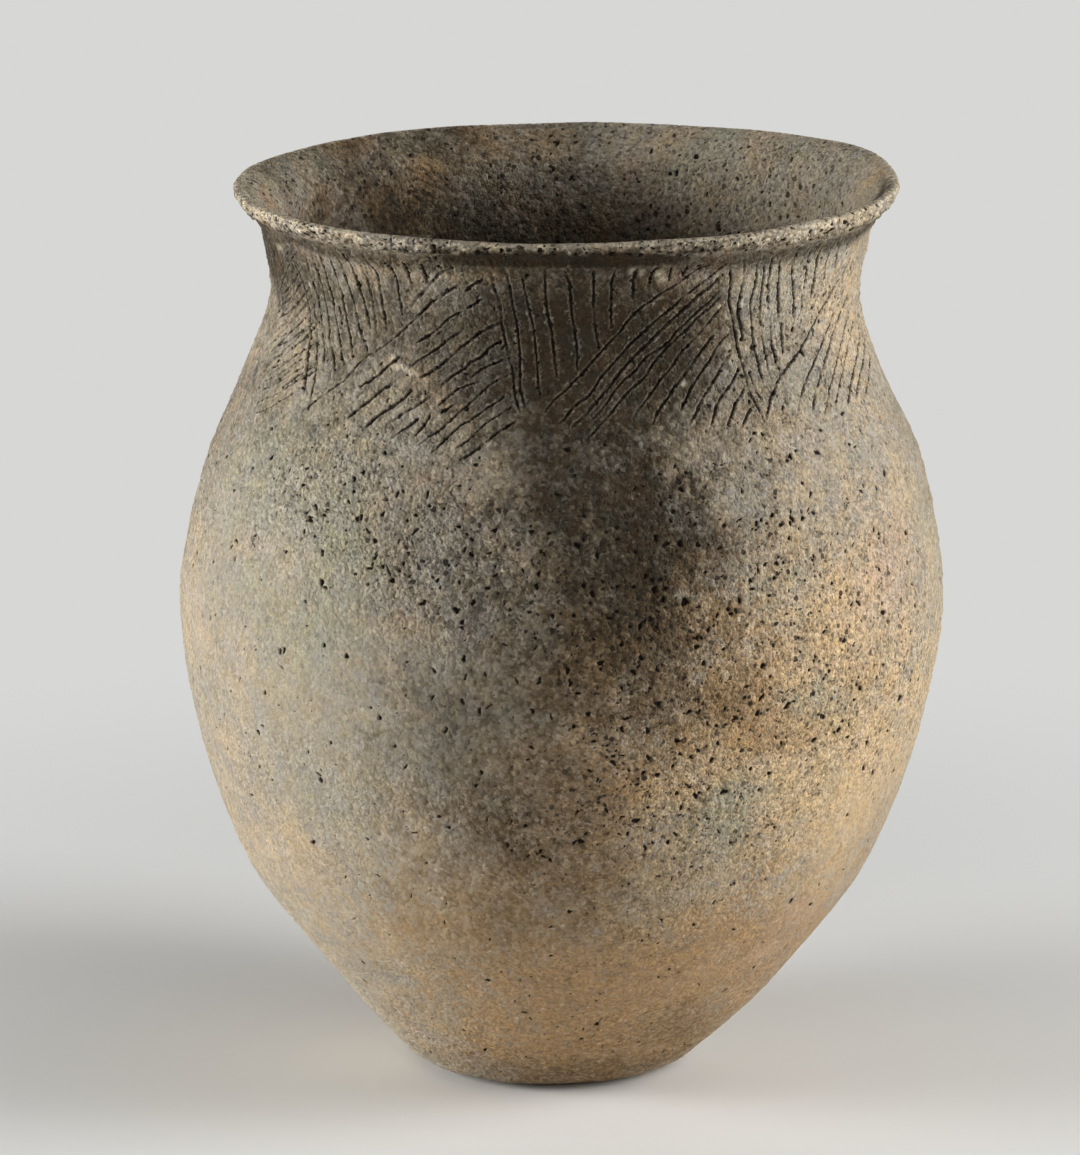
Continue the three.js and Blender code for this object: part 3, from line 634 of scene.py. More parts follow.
def clouds(places, angle, height, ragged):
    """Strength of a list of clouds at each point. ragged is a random field that frays their edges."""
    total = np.zeros(np.broadcast(angle, height).shape, np.float32)
    for at_angle, at_height, reach_round, reach_up, strength in places:
        away = (around(angle - at_angle) / reach_round) ** 2
        away = away + ((height - at_height * MM) / (reach_up * MM)) ** 2
        total = 1 - (1 - total) * (1 - strength * np.exp(-0.8 * away * np.exp(-0.8 * ragged)))
    return total


def frayed(points, seed):
    """A random field with ever finer lumps, and angles and heights that wander with it."""
    ragged = sum(share * clay_noise(points, size * MM, seed + i)
                 for i, (size, share) in enumerate([(19, 0.4), (8, 0.42), (3.6, 0.34), (1.7, 0.28)]))
    height = points[..., 2] + 6 * MM * clay_noise(points, 24 * MM, seed + 5)
    angle = np.degrees(np.arctan2(points[..., 1], points[..., 0])) + 4 * clay_noise(points, 20 * MM, seed + 6)
    return ragged, angle, height


# Marks set in the skin
class Skin:
    """One side of the jar: points round each row, how far each is pushed in or out, and its fields."""

    def __init__(self, radii, heights, angle, outline):
        lean = outline["lean"](np.minimum(heights, outline["seams"][-1]))
        points = np.stack([lean + radii * np.cos(angle), radii * np.sin(angle), heights], axis=-1)
        self.points = points.astype(np.float32)
        self.normals = grid_normals(self.points)
        self.columns = len(angle)
        self.radius = radii.mean(axis=1)
        steps = np.hypot(np.diff(self.radius), np.diff(heights.mean(axis=1)))
        self.length = np.concatenate([[0], np.cumsum(steps)])
        self.depth = np.zeros(heights.shape, np.float32)
        self.fields = {name: np.zeros(heights.shape, np.float32) for name in FIELDS}

    def row_at(self, place):
        """The row at a length along the wall."""
        return min(np.searchsorted(self.length, place), len(self.length) - 1)

    def window(self, angle, place, reach):
        """The points within reach of a spot, and their offsets from it round the jar and along its wall."""
        first, last = np.searchsorted(self.length, (place - reach, place + reach))
        rows = np.arange(max(first - 1, 0), min(last + 1, len(self.length)))
        radius = self.radius[self.row_at(place)]
        step = 2 * math.pi / self.columns
        middle = math.radians(angle) / step
        half = reach / radius / step
        columns = np.arange(math.floor(middle - half), math.ceil(middle + half) + 1)
        where = np.ix_(rows, columns % self.columns)
        return where, ((columns - middle) * step * radius)[None, :], (self.length[rows] - place)[:, None]

    def moved(self):
        """The points, moved in or out."""
        return (self.points + self.normals * self.depth[..., None]).astype(np.float32)


def stamp_pits(skin, pits):
    """Sinks irregular oval pits, each (angle, place, half length, half width, turn, depth, outline)."""
    for angle, place, half_length, half_width, turn, depth, outline in pits:
        where, x, y = skin.window(angle, place, 1.5 * half_length)
        along = (x * math.cos(turn) + y * math.sin(turn)) / half_length
        across = (y * math.cos(turn) - x * math.sin(turn)) / half_width
        away = np.hypot(along, across)
        bearing = np.arctan2(across, along)
        away = away * (1 + 0.18 * np.cos(2 * bearing + outline) + 0.14 * np.cos(3 * bearing + 2.3 * outline))
        hollow = 1 - smooth_step(away, 0.5, 1.1)
        skin.depth[where] -= depth * hollow
        skin.fields["pitted"][where] = np.maximum(skin.fields["pitted"][where], hollow)


def stamp_grit(skin, grains):
    """Raises small rounded grains, each (angle, place, half width, height)."""
    for angle, place, half_width, height in grains:
        where, x, y = skin.window(angle, place, 1.4 * half_width)
        skin.depth[where] += height * (1 - smooth_step(np.hypot(x, y) / half_width, 0.1, 1.2))


def stamp_strokes(skin, strokes, place_of_height, sizes):
    """Cuts the neck's strokes: a groove with a rounded bottom and a low burr along both edges."""
    random = np.random.default_rng(43)
    # distance to the nearest stroke in half widths, and how firmly it was cut there
    nearest = np.full(skin.depth.shape, 9.0, np.float32)
    strength = np.zeros(skin.depth.shape, np.float32)
    for points, width, depth in strokes:
        places = place_of_height(points[:, 1] * MM)
        run_up = np.hypot(np.diff(points[:, 0]) * 1.7, np.diff(points[:, 1])).sum()
        steps = np.linspace(0, len(points) - 1, max(6, int(run_up / 1.1)))
        shake = np.convolve(random.normal(size=(len(steps) + 2)), (0.3, 0.4, 0.3), "valid")
        angles = curve_through(np.arange(len(points)), points[:, 0])(steps) + 0.05 * shake
        places = curve_through(np.arange(len(points)), places)(steps)
        firmness = np.convolve(random.uniform(0.2, 1.5, len(steps) + 2), (0.3, 0.4, 0.3), "valid")
        half = sizes["stroke_width"] / 2 * width
        for i in range(len(steps) - 1):
            middle = ((angles[i] + angles[i + 1]) / 2, (places[i] + places[i + 1]) / 2)
            run = math.radians(angles[i + 1] - angles[i]) * skin.radius[skin.row_at(middle[1])]
            rise = places[i + 1] - places[i]
            size = math.hypot(run, rise)
            where, x, y = skin.window(*middle, size / 2 + 2.4 * half)
            t = np.clip((x * run + y * rise) / size ** 2, -0.5, 0.5)
            away = np.hypot(x - t * run, y - t * rise) / half
            share = (i + 0.5) / (len(steps) - 1)
            fading = depth * firmness[i] * min(1.0, 0.35 + 5 * share, 0.35 + 5 * (1 - share))
            closer = away < nearest[where]
            nearest[where] = np.where(closer, away, nearest[where])
            strength[where] = np.where(closer, fading, strength[where])
    uneven = clay_noise(skin.points, 0.95 * MM, 53) * 0.75 + clay_noise(skin.points, 2.2 * MM, 54) * 0.4
    torn = 0.6 * clay_noise(skin.points, 1.9 * MM, 55)
    strength = strength * (1 + torn + 0.35 * clay_noise(skin.points, 5 * MM, 56))
    strength = np.maximum(strength, 0)
    nearest = nearest * (1 + uneven)
    groove = np.clip(1 - nearest ** 2, 0, 1)
    burr = np.exp(-((nearest - 1.45) / 0.42) ** 2)
    skin.depth += strength * (burr * sizes["burr_height"] - groove * sizes["stroke_depth"])
    skin.fields["incised"] = np.clip(groove * 1.3, 0, 1) * np.clip(strength * 1.15, 0, 1)
    # the burrs go into the worn field, which lightens them later as a painted highlight
    skin.fields["worn"] = burr * np.clip(strength, 0, 1)


def scattered_pits(random, count, skin, crowd, small, large):
    """Pits spread over the skin, more of them where crowd is high."""
    pits = []
    edge = 3 * MM
    greatest = skin.radius.max()
    while len(pits) < count:
        angle = random.uniform(-180, 180)
        place = random.uniform(skin.length[0] + edge, skin.length[-1] - edge)
        row = skin.row_at(place)
        if random.random() > skin.radius[row] / greatest:
            continue
        column = int(angle % 360 / 360 * skin.columns) % skin.columns
        if random.random() > 0.06 + 0.94 * crowd[row, column] ** 1.4:
            continue
        half_length = small + (large - small) * random.random() ** 4.5
        half_width = half_length * random.uniform(0.42, 0.95)
        turn = random.uniform(0, math.pi)
        depth = min(0.9 * MM, half_length * random.uniform(0.7, 1.2))
        outline = random.uniform(0, 2 * math.pi)
        pits.append((angle, place, half_length, half_width, turn, depth, outline))
        # a second pit often opens into the first
        if random.random() < 0.3:
            nudge = math.degrees(half_length * math.cos(turn) / skin.radius[row])
            pits.append((angle + nudge, place + half_length * math.sin(turn), half_length * 0.75,
                         half_width * 0.8, turn + random.uniform(0.4, 1.2), depth * 0.8, outline + 2))
    return pits


def random_pits(random, count, place, half_length, half_width, depth):
    """Pits anywhere round the jar, with places and sizes between two limits."""
    return [(random.uniform(-180, 180), random.uniform(*place), random.uniform(*half_length) * MM,
             random.uniform(*half_width) * MM, random.uniform(0, math.pi), random.uniform(*depth) * MM,
             random.uniform(0, 6)) for _ in range(count)]


# The two surfaces. Rows of the lip's outside are counted from its seam: up to 14 lies the top of the
# neck, up to 23 the undercut, up to 34 the face, up to 39 the crest's outer half and up to 43 its inner
# half, which ends at the lip's inner edge.
def lip_section(s, outline, angle):
    """The lip's outer section from the seam to its inner edge, as radius and height, one column each."""
    crest = s["rim_height"] + s["tilt"] * np.cos(angle)
    from_swell = np.arctan2(np.sin(angle - s["swell_angle"]), np.cos(angle - s["swell_angle"]))
    crest = crest + s["swell"] * np.exp(-(from_swell / s["swell_spread"]) ** 2)
    face = s["face_height"] + s["face_tilt"] * np.cos(angle) + s["face_variation"] * np.cos(2 * angle)
    seam = outline["seams"][-1]
    collar = np.full_like(angle, outline["outer"](seam))
    mouth = np.full_like(angle, s["mouth_radius"])
    bottom = mouth - s["face_draw_in"]
    rounding = s["crest_rounding"]
    corners = [
        (collar, np.full_like(angle, seam), 14),
        (bottom - s["undercut_depth"], crest - face - s["undercut_height"], 9),
        (bottom, crest - face, 7),
        (mouth - s["face_draw_in"] / 4, crest - face / 2, 4),
        (mouth, crest - rounding, 2),
        (mouth - rounding / 2, crest - rounding / 3, 3),
        (mouth - s["thickness"] / 2, crest, 4),
        (mouth - s["thickness"], crest - rounding, 1),
    ]
    radii, heights = [], []
    for (radius, height, rows), (next_radius, next_height, _) in zip(corners, corners[1:]):
        for t in np.arange(rows) / rows:
            radii.append(radius + (next_radius - radius) * t)
            heights.append(height + (next_height - height) * t)
    radii.append(corners[-1][0])
    heights.append(corners[-1][1])
    radii, heights = np.array(radii), np.array(heights)
    for values in (radii, heights):
        for _ in range(2):
            values[1:-1] = (values[:-2] + 2 * values[1:-1] + values[2:]) / 4
    return radii, heights


def inner_section(outline, edge_radius, edge_height):
    """The inside's section from the lip's inner edge to the floor, as radius and height, and the rows at
    which its coils meet. The flare's slopes at the seam and at the edge are radius over height."""
    seams = outline["seams"][::-1]
    seam_radius = outline["inner"](seams[0])
    share = np.linspace(0, 1, LIP_INNER_ROWS + 1)[:, None]
    up = 1 - share
    drop = edge_height - seams[0]
    neck_slope, edge_slope = 0.35, 1.35
    flare = (seam_radius + (edge_radius - seam_radius) * up ** 2 * (3 - 2 * up)
             + drop * (neck_slope * up * share ** 2 - edge_slope * up ** 2 * share))
    falling = edge_height + (seams[0] - edge_height) * share
    counts = [NECK_INNER_ROWS] * len(NECK_COILS) + [WALL_INNER_ROWS] * len(WALL_COILS)
    below = np.concatenate([np.linspace(high, low, rows + 1)[1:]
                            for high, low, rows in zip(seams, seams[1:], counts)])
    radii = np.concatenate([flare, np.repeat(outline["inner"](below)[:, None], INNER_COLUMNS, 1)])
    heights = np.concatenate([falling, np.repeat(below[:, None], INNER_COLUMNS, 1)])
    # the lip's own inside begins at row 1, because row 0 is the last row of the outside
    return radii, heights, [1, *np.cumsum([LIP_INNER_ROWS] + counts)]


def outer_section(s, outline, angle):
    """The outside's section from the foot to the lip's inner edge, as radius and height, and the rows at
    which its pieces meet."""
    seams = outline["seams"]
    counts = [BASE_OUTER_ROWS] + [WALL_OUTER_ROWS] * len(WALL_COILS) + [NECK_OUTER_ROWS] * len(NECK_COILS)
    wall = np.concatenate([even_rows(outline["outer"], low, high, rows)[:-1]
                           for low, high, rows in zip([0.0] + seams, seams, counts)])
    lip_radii, lip_heights = lip_section(s, outline, angle)
    radii = np.concatenate([np.repeat(outline["outer"](wall)[:, None], OUTER_COLUMNS, 1), lip_radii])
    heights = np.concatenate([np.repeat(wall[:, None], OUTER_COLUMNS, 1), lip_heights])
    return radii, heights, [*np.cumsum([0] + counts), len(radii) - 1]


@lru_cache(maxsize=1)
def cut_surfaces(settings):
    """The outside, from the foot to the lip's inner edge, and the inside, from there down to the floor, as
    blocks of points, normals and fields. Also the rows at which pieces meet on both."""
    s = dict(settings)
    outline = jar_outline()
    angle = np.linspace(0, 2 * math.pi, OUTER_COLUMNS, endpoint=False)
    radii, heights, outer_rows = outer_section(s, outline, angle)
    outside = Skin(radii, heights, angle, outline)
    radii, heights, inner_rows = inner_section(outline, radii[-1, ::2], heights[-1, ::2])
    inside = Skin(radii, heights, angle[::2], outline)
    work_outside(outside, s, outer_rows[-2])
    work_inside(inside, outside, s)

    outer, inner = outside.moved(), inside.moved()
    inner[0] = outer[-1, ::2]
    outer[..., 2] = np.maximum(outer[..., 2], 0)
    first_inner = np.repeat(inner[1:2], 2, axis=1)
    first_inner[:, 1::2] = (first_inner[:, 1::2] + np.roll(first_inner[:, ::2], -1, axis=1)) / 2
    outer_normals = grid_normals(np.concatenate([outer, first_inner]))[:-1]
    inner_normals = grid_normals(np.concatenate([outer[-2:-1, ::2], inner]))[1:]
    outer_block = (outer, outer_normals, np.stack([outside.fields[n] for n in FIELDS], axis=-1))
    inner_block = (inner, inner_normals, np.stack([inside.fields[n] for n in FIELDS], axis=-1))
    return outer_block, inner_block, outer_rows, inner_rows


def finished_surfaces():
    """The surfaces made with the scene's present settings."""
    return cut_surfaces(settings_of("jar_form", "jar_incising", "jar_lip"))


def work_outside(skin, s, lip_row):
    """Shapes, marks and colours the outside: hand-built lumps, strokes, pits, grit and a worn lip."""
    points = skin.points
    height = points[..., 2]
    angle = np.degrees(np.arctan2(points[..., 1], points[..., 0]))
    ragged, far_angle, far_height = frayed(points, 60)
    burnished = clouds(BURNISHED_AREAS, far_angle, far_height, ragged)
    lower = 1 - smooth_step(height, 70 * MM, 150 * MM)
    burnished = np.clip(burnished + 0.3 * lower + 0.2 * clay_noise(points, 30 * MM, 5), 0, 1)
    crowd = clouds(PITTED_AREAS, far_angle, far_height, ragged) * (1 - 0.75 * burnished)
    rows = np.arange(len(skin.length))[:, None] - lip_row
    face = smooth_step(rows + 0 * angle, 15, 23)
    crest = smooth_step(rows, 32, 36)
    neck = smooth_step(height, 228 * MM, 242 * MM) * (1 - face)
    front = smooth_step(-np.sin(np.radians(angle)), -0.5, 0.35)

    skin.depth += s["lump_depth"] * (clay_noise(points, 46 * MM, 11) + 0.4 * clay_noise(points, 21 * MM, 12))
    low = 1 - smooth_step(height, 60 * MM, 120 * MM)
    skin.depth += s["scrape_depth"] * low * clay_noise(points, (17 * MM, 17 * MM, 11 * MM), 13)
    wiped = clay_noise(points, (30 * MM, 30 * MM, 2.2 * MM), 14) * (0.5 + 0.9 * low)
    streaked = clay_noise(points, (2.6 * MM, 2.6 * MM, 34 * MM), 19) * neck
    skin.depth += s["wipe_depth"] * (wiped + 1.3 * streaked * np.exp(-(around(angle + 20) / 16) ** 2))
    # the skin is roughest where pits crowd and on the lip's face at the front, and calm on the crest
    on_face = face * front * (1 - crest)
    calm = 1 - 0.75 * crest
    rough = clay_noise(points, 4.6 * MM, 15) + 0.75 * clay_noise(points, 2.4 * MM, 16)
    coarse = (0.35 + 0.4 * smooth_step(ragged, -0.5, 0.7) + 0.5 * crowd) * (1 - 0.7 * burnished)
    skin.depth += s["rough_depth"] * rough * coarse * (1 + 0.9 * on_face) * calm
    sandy = (0.7 + 0.5 * crowd) * (1 - 0.5 * burnished) * (1 + 1.2 * on_face) * calm
    skin.depth += s["grain_depth"] * clay_noise(points, 1.5 * MM, 17) * sandy
    mark_outside(skin, s, lip_row, crowd)

    # the lip: its face is rubbed back unevenly, its far side stays smooth, and at the front and the
    # right a wet finger drew a groove, under the face and along the inner edge
    gnawed = clay_noise(points, 3.4 * MM, 21) + 0.8 * clay_noise(points, 1.5 * MM, 22)
    gnawed = gnawed + 0.7 * clay_noise(points, 9 * MM, 23)
    smooth_left = np.exp(-((around(angle + 118)) / 7) ** 2)
    eaten = smooth_step(gnawed, -0.7, 1.1) * (1 - 0.7 * smooth_left) * (0.3 + 0.7 * front)
    skin.depth -= face * (1 - 0.85 * crest) * s["erosion"] * eaten
    under = np.exp(-((rows - 16.5) / 5.5) ** 4) * np.exp(-((angle + 90) / 20) ** 4)
    skin.depth -= 1.3 * MM * under
    inner_edge = np.exp(-((rows - 42.6) / 1.7) ** 2) * np.exp(-(around(angle + 20) / 22) ** 4)
    skin.depth -= 0.8 * MM * inner_edge

    # bare worn clay on the lip and the foot, pale marks, a patch of painted light low on the left, and a
    # painted highlight along the strokes' burrs
    fields = skin.fields
    granular = smooth_step(gnawed, -0.6, 0.7)
    middle = np.exp(-((angle + 88) / 28) ** 4)
    lowest, highest = 33 - 9 * front + 4 * middle, 38 + 4 * front
    bare = smooth_step(rows + 2.5 * ragged, lowest - 3, lowest + 3)
    bare = bare * (1 - smooth_step(rows, highest, highest + 3))
    worn = bare * (0.12 + 0.88 * granular ** 1.5) * (1 - 0.35 * middle)
    far_left = np.exp(-(around(angle + 152) / 27) ** 4)
    worn = np.maximum(worn, far_left * smooth_step(rows, 22, 27) * (0.25 + 0.3 * granular))
    foot = 1 - smooth_step(height, 0, 26 * MM)
    worn = worn * (1 - inner_edge) + 0.15 * foot * smooth_step(gnawed, 0.2, 0.9)
    marks = clouds(PALE_MARKS, angle, height, clay_noise(points, 2.5 * MM, 24))
    painted_burr_highlights = fields["worn"] * (0.3 + 0.25 * ragged)
    fields["worn"] = np.clip(np.maximum(np.maximum(worn, marks), painted_burr_highlights), 0, 1)

    # smoke over the wall and in the torn face of the lip, and painted shade, with some soot, under the lip
    # painted shade: the undercut and the top of the neck at the front are darkened as the lip's overhang
    # would shade them
    soot_and_shade = under + 0.75 * np.exp(-((rows - 8) / 13) ** 2) * front
    smoked = clouds(SMOKE_CLOUDS, far_angle, far_height, ragged) * (1 - 0.35 * bare)
    # the face's lower edge, just over the undercut, is darkened too, as painted shade
    shaded = (1 - 0.75 * granular) * (1 - crest) + 0.45 * np.exp(-((rows - 24) / 3.5) ** 2)
    smoked = np.maximum(smoked, face * front * (0.4 + 0.4 * middle) * shaded)
    fields["smoked"] = np.maximum(smoked, np.clip(soot_and_shade, 0, 1))
    for name, places in (("flushed", FLUSH_CLOUDS), ("buff", BUFF_CLOUDS), ("toasted", TOAST_CLOUDS),
                         ("ashy", ASH_CLOUDS)):
        fields[name] = clouds(places, far_angle, far_height, ragged)
    fields["burnished"] = burnished
    fields["porous"] = np.clip(0.3 + 0.8 * crowd + 0.3 * ragged + 0.4 * face - 0.5 * burnished, 0, 1)


def mark_outside(skin, s, lip_row, crowd):
    """Cuts the strokes, tears pits along them and over the whole skin, and raises grains of grit."""
    up_to_undercut = slice(0, lip_row + 14)
    heights, lengths = skin.points[up_to_undercut, :, 2].mean(axis=1), skin.length[up_to_undercut]

    def place_of_height(values):
        return np.interp(values, heights, lengths)

    strokes = neck_strokes()
    stamp_strokes(skin, strokes, place_of_height, s)
    random = np.random.default_rng(7)
    torn = []
    for path, _, _ in strokes:
        for _ in range(random.integers(1, 6)):
            share = random.uniform(0, len(path) - 1)
            at, height = (np.interp(share, np.arange(len(path)), path[:, axis]) for axis in (0, 1))
            torn.append((at + random.uniform(-0.3, 0.3), place_of_height(height * MM),
                         random.uniform(0.35, 0.85) * MM, random.uniform(0.3, 0.55) * MM,
                         random.uniform(0, math.pi), random.uniform(0.5, 0.9) * MM, random.uniform(0, 6)))
    stamp_pits(skin, torn)
    stamp_pits(skin, scattered_pits(random, s["pit_count"], skin, crowd, 0.3 * MM, 1.15 * MM))
    # the lists give whole sizes as they look in the photo, soft edges included
    stamp_pits(skin, [(at, place_of_height(height * MM), long * 0.54 * MM, wide * 0.66 * MM,
                       math.radians(turn), min(wide * 0.7, 1.3) * MM, random.uniform(0, 6))
                      for at, height, long, wide, turn in MARKED_PITS])
    stamp_pits(skin, [(at, skin.length[lip_row + up], long / 2 * MM, long * 0.38 * MM, math.radians(turn),
                       0.9 * MM, random.uniform(0, 6)) for at, up, long, turn in LIP_PITS])
    on_lip = (skin.length[lip_row + 14], skin.length[-6])
    stamp_pits(skin, random_pits(random, 650, on_lip, (0.35, 1.0), (0.3, 0.6), (0.3, 0.9)))
    # slits that straw left
    below_lip = (0.02, skin.length[lip_row])
    stamp_pits(skin, random_pits(random, 260, below_lip, (0.9, 1.7), (0.22, 0.36), (0.4, 0.8)))
    stamp_grit(skin, [(random.uniform(-180, 180), random.uniform(0.01, skin.length[-1] - 0.004),
                       random.uniform(0.45, 0.85) * MM, random.uniform(0.05, 0.18) * MM)
                      for _ in range(s["grit_count"])])


def work_inside(skin, outside, s):
    """Shapes and marks the inside: finger marks, pits and a mottled colour with smoke, painted darker with
    depth and lighter where the light falls on its right wall.
    """
    points = skin.points
    ragged, angle, height = frayed(points, 80)
    skin.depth += s["lump_depth"] * 0.8 * clay_noise(points, (30 * MM, 30 * MM, 18 * MM), 33)
    skin.depth += s["wipe_depth"] * 1.5 * clay_noise(points, (30 * MM, 30 * MM, 3.5 * MM), 34)
    skin.depth += s["rough_depth"] * 0.8 * clay_noise(points, 4.2 * MM, 35)
    skin.depth += s["grain_depth"] * 1.3 * clay_noise(points, 2.0 * MM, 36)
    # a finger drew a groove just inside the lip on its right side
    rows = np.arange(len(points))[:, None]
    groove = np.exp(-((rows - 0.4) / 1.4) ** 2) * np.exp(-(around(angle + 20) / 22) ** 4)
    skin.depth -= 0.8 * MM * groove
    random = np.random.default_rng(8)
    upper = smooth_step(height, 236 * MM, 262 * MM)
    crowd = np.clip((0.35 + 0.6 * upper) * smooth_step(ragged, -0.6, 0.7), 0, 1)
    stamp_pits(skin, scattered_pits(random, s["pit_count"] * 3 // 4, skin, crowd, 0.36 * MM, 1.0 * MM))
    skin.depth[0] = outside.depth[-1, ::2]

    # painted light and shade inside: the smoke is cleared high up and on the right wall, where the light
    # falls in, so that the inside darkens with depth; the right wall is lightened with the worn tone as well,
    # and the finger's groove is darkened as its shade
    high = smooth_step(height, 262 * MM, 296 * MM)
    right = np.exp(-(around(angle - 24) / 50) ** 2)
    pale_right = np.exp(-(around(angle - 6) / 13) ** 2) * smooth_step(height, 284 * MM, 296 * MM)
    pale_left = np.exp(-(around(angle - 184) / 26) ** 2)
    brown = np.exp(-(around(angle - 122) / 26) ** 2)
    clear = (0.26 * high + right * (0.46 + 0.5 * high) + 0.4 * pale_right
             + 0.56 * pale_left * (0.4 + 0.6 * high))
    smoked = np.maximum(0.86 - clear + 0.3 * ragged, 0.9 * groove)
    buff = 0.5 * clay_noise(points, 22 * MM, 37) + 0.3 * ragged + 0.3 * pale_right
    toasted = 0.6 * clay_noise(points, 20 * MM, 38) + 0.2 * ragged + 0.1 + 0.5 * brown
    flushed = 0.7 * clay_noise(points, 16 * MM, 40) + 0.3 * ragged
    ashy = 0.85 * clay_noise(points, 18 * MM, 39) + 0.3 * ragged + 0.05 + 0.15 * right
    porous = 0.85 + 0.4 * ragged - 0.6 * pale_right
    worn = np.clip(0.45 * right * (0.6 + ragged), 0, 1) * (1 - groove)
    fields = skin.fields
    for name, values in (("smoked", smoked), ("buff", buff), ("toasted", toasted), ("flushed", flushed),
                         ("ashy", ashy), ("porous", porous), ("worn", worn)):
        fields[name] = np.clip(values, 0, 1)

    # the inside's colours run out over the crest's rows, and a dark line of painted shade runs along the
    # crest's inner edge, where it turns away from the light
    crest_rows = np.arange(10)[:, None]
    over = smooth_step(crest_rows, 0, 7)
    for name in ("smoked", "buff", "toasted", "flushed", "ashy", "burnished", "porous"):
        crest = outside.fields[name][-10:]
        crest += (np.repeat(fields[name][0], 2) - crest) * over
    edge = np.exp(-((crest_rows - 8.6) / 1.5) ** 2) * np.repeat(groove[0] / groove[0].max(), 2)
    outside.fields["smoked"][-10:] = np.maximum(outside.fields["smoked"][-10:], 0.95 * edge)
    for name in FIELDS:
        fields[name][0] = outside.fields[name][-1, ::2]


# A piece is a list of blocks of rings, in order up its outside and down its inside. Each block is (points,
# normals, fields, strips), where strips says into how many lengths its map is cut.
def cut_block(block, first, last, strips):
    return tuple(part[first:last + 1] for part in block) + (strips,)


def joining_faces(a, b):
    """Triangles between two rings of point numbers, where one ring is a single point or has half as many
    as the other. Each is three corners of (point, 0 on a or 1 on b, columns round the jar)."""
    if len(a) == 1 or len(b) == 1:
        j = np.arange(max(len(a), len(b)))
        k = (j + 1) % len(j)
        if len(a) == 1:
            return j, [((a[0 * j], 0, j + 0.5), (b[k], 1, j + 1), (b[j], 1, j))]
        return j, [((a[j], 0, j), (a[k], 0, j + 1), (b[0 * j], 1, j + 0.5))]
    j = np.arange(min(len(a), len(b)))
    k = (j + 1) % len(j)
    start, half, end = 2 * j, 2 * j + 1, 2 * j + 2
    if len(a) > len(b):
        return j, [((a[start], 0, start), (a[half], 0, half), (b[j], 1, start)),
                   ((a[half], 0, half), (b[k], 1, end), (b[j], 1, start)),
                   ((a[half], 0, half), (a[2 * k], 0, end), (b[k], 1, end))]
    return j, [((a[j], 0, start), (a[k], 0, end), (b[half], 1, half)),
               ((a[j], 0, start), (b[half], 1, half), (b[start], 1, start)),
               ((a[k], 0, end), (b[2 * k], 1, end), (b[half], 1, half))]


def skinned(name, blocks, closed, room):
    """A closed mesh through the blocks' rings. room gives the share of the map's height that a strip of
    each block takes, and then a strip of each join."""
    counts = [block[0].shape[0] * block[0].shape[1] for block in blocks]
    indices = [first + np.arange(count).reshape(block[0].shape[:2])
               for first, count, block in zip(np.cumsum([0] + counts), counts, blocks)]
    quads, quad_maps, triangles, triangle_maps = [], [], [], []
    cursor = MAP_GAP

    def spread(fraction, start, share, strips, height):
        """Map corners: fraction is each corner's way round the jar and start the face's, which says in
        what strip it lies, and share is the way across the strip."""
        strip = np.minimum(np.floor(start * strips + 1e-6), strips - 1)
        u = (fraction * strips - strip) * (1 - 2 * MAP_GAP) + MAP_GAP
        v = cursor + strip * (height + MAP_GAP) + share * height
        return np.stack(np.broadcast_arrays(u, v), axis=-1)

    for block, ids, height in zip(blocks, indices, room):
        rows, columns = ids.shape
        strips = block[3]
        if rows > 1:
            beside = np.roll(ids, -1, axis=1)
            quads.append(np.stack([ids[:-1], beside[:-1], beside[1:], ids[1:]], axis=-1).reshape(-1, 4))
            fraction = (np.arange(columns)[:, None] + np.array([0, 1, 1, 0])) / columns
            share = (np.arange(rows - 1)[:, None, None] + np.array([0, 0, 1, 1])) / (rows - 1)
            quad_maps.append(spread(fraction, fraction[:, :1], share, strips, height).reshape(-1, 2))
            cursor += strips * (height + MAP_GAP)

    pairs = [(low, low + 1) for low in range(len(blocks) - 1)] + ([(len(blocks) - 1, 0)] if closed else [])
    for (low, high), height in zip(pairs, room[len(blocks):]):
        a, b = indices[low][-1], indices[high][0]
        strips = min(blocks[low][3], blocks[high][3])
        j, faces = joining_faces(a, b)
        for corners in faces:
            ids, share, column = zip(*corners)
            fraction = np.stack(column, axis=-1) / max(len(a), len(b))
            triangles.append(np.stack(ids, axis=-1))
            corner_maps = spread(fraction, j[:, None] / len(j), np.array(share), strips, height)
            triangle_maps.append(corner_maps.reshape(-1, 2))
        cursor += strips * (height + MAP_GAP)

    quads = np.concatenate(quads)
    triangles = np.concatenate(triangles)
    corners = np.concatenate([quads.ravel(), triangles.ravel()]).astype(np.int32)
    starts = np.concatenate([np.arange(len(quads)) * 4, quads.size + np.arange(len(triangles)) * 3])
    maps = np.concatenate(quad_maps + triangle_maps).astype(np.float32)
    points, normals, fields = (np.concatenate([block[part].reshape(-1, width) for block in blocks])
                               .astype(np.float32) for part, width in ((0, 3), (1, 3), (2, len(FIELDS))))

    mesh = bpy.data.meshes.new(name)
    mesh.vertices.add(len(points))
    mesh.vertices.foreach_set("co", points.ravel())
    mesh.loops.add(len(corners))
    mesh.loops.foreach_set("vertex_index", corners)
    mesh.polygons.add(len(starts))
    mesh.polygons.foreach_set("loop_start", starts.astype(np.int32))
    mesh.update(calc_edges=True)
    mesh.uv_layers.new(name="OFBake").uv.foreach_set("vector", maps.ravel())
    for i, field in enumerate(FIELDS):
        mesh.attributes.new(field, "FLOAT", "POINT").data.foreach_set("value", fields[:, i].copy())
    mesh.attributes.new("custom_normal", "FLOAT_VECTOR", "POINT").data.foreach_set("vector", normals.ravel())
    mesh.update()
    return mesh


def set_piece(name, mesh, material, node):
    """Adds a piece to the scene in place of its coil of the frame."""
    piece = bpy.data.objects.new(name, mesh)
    bpy.context.scene.collection.objects.link(piece)
    mesh.materials.append(material)
    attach(piece, "root")
    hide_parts(node)
    return piece


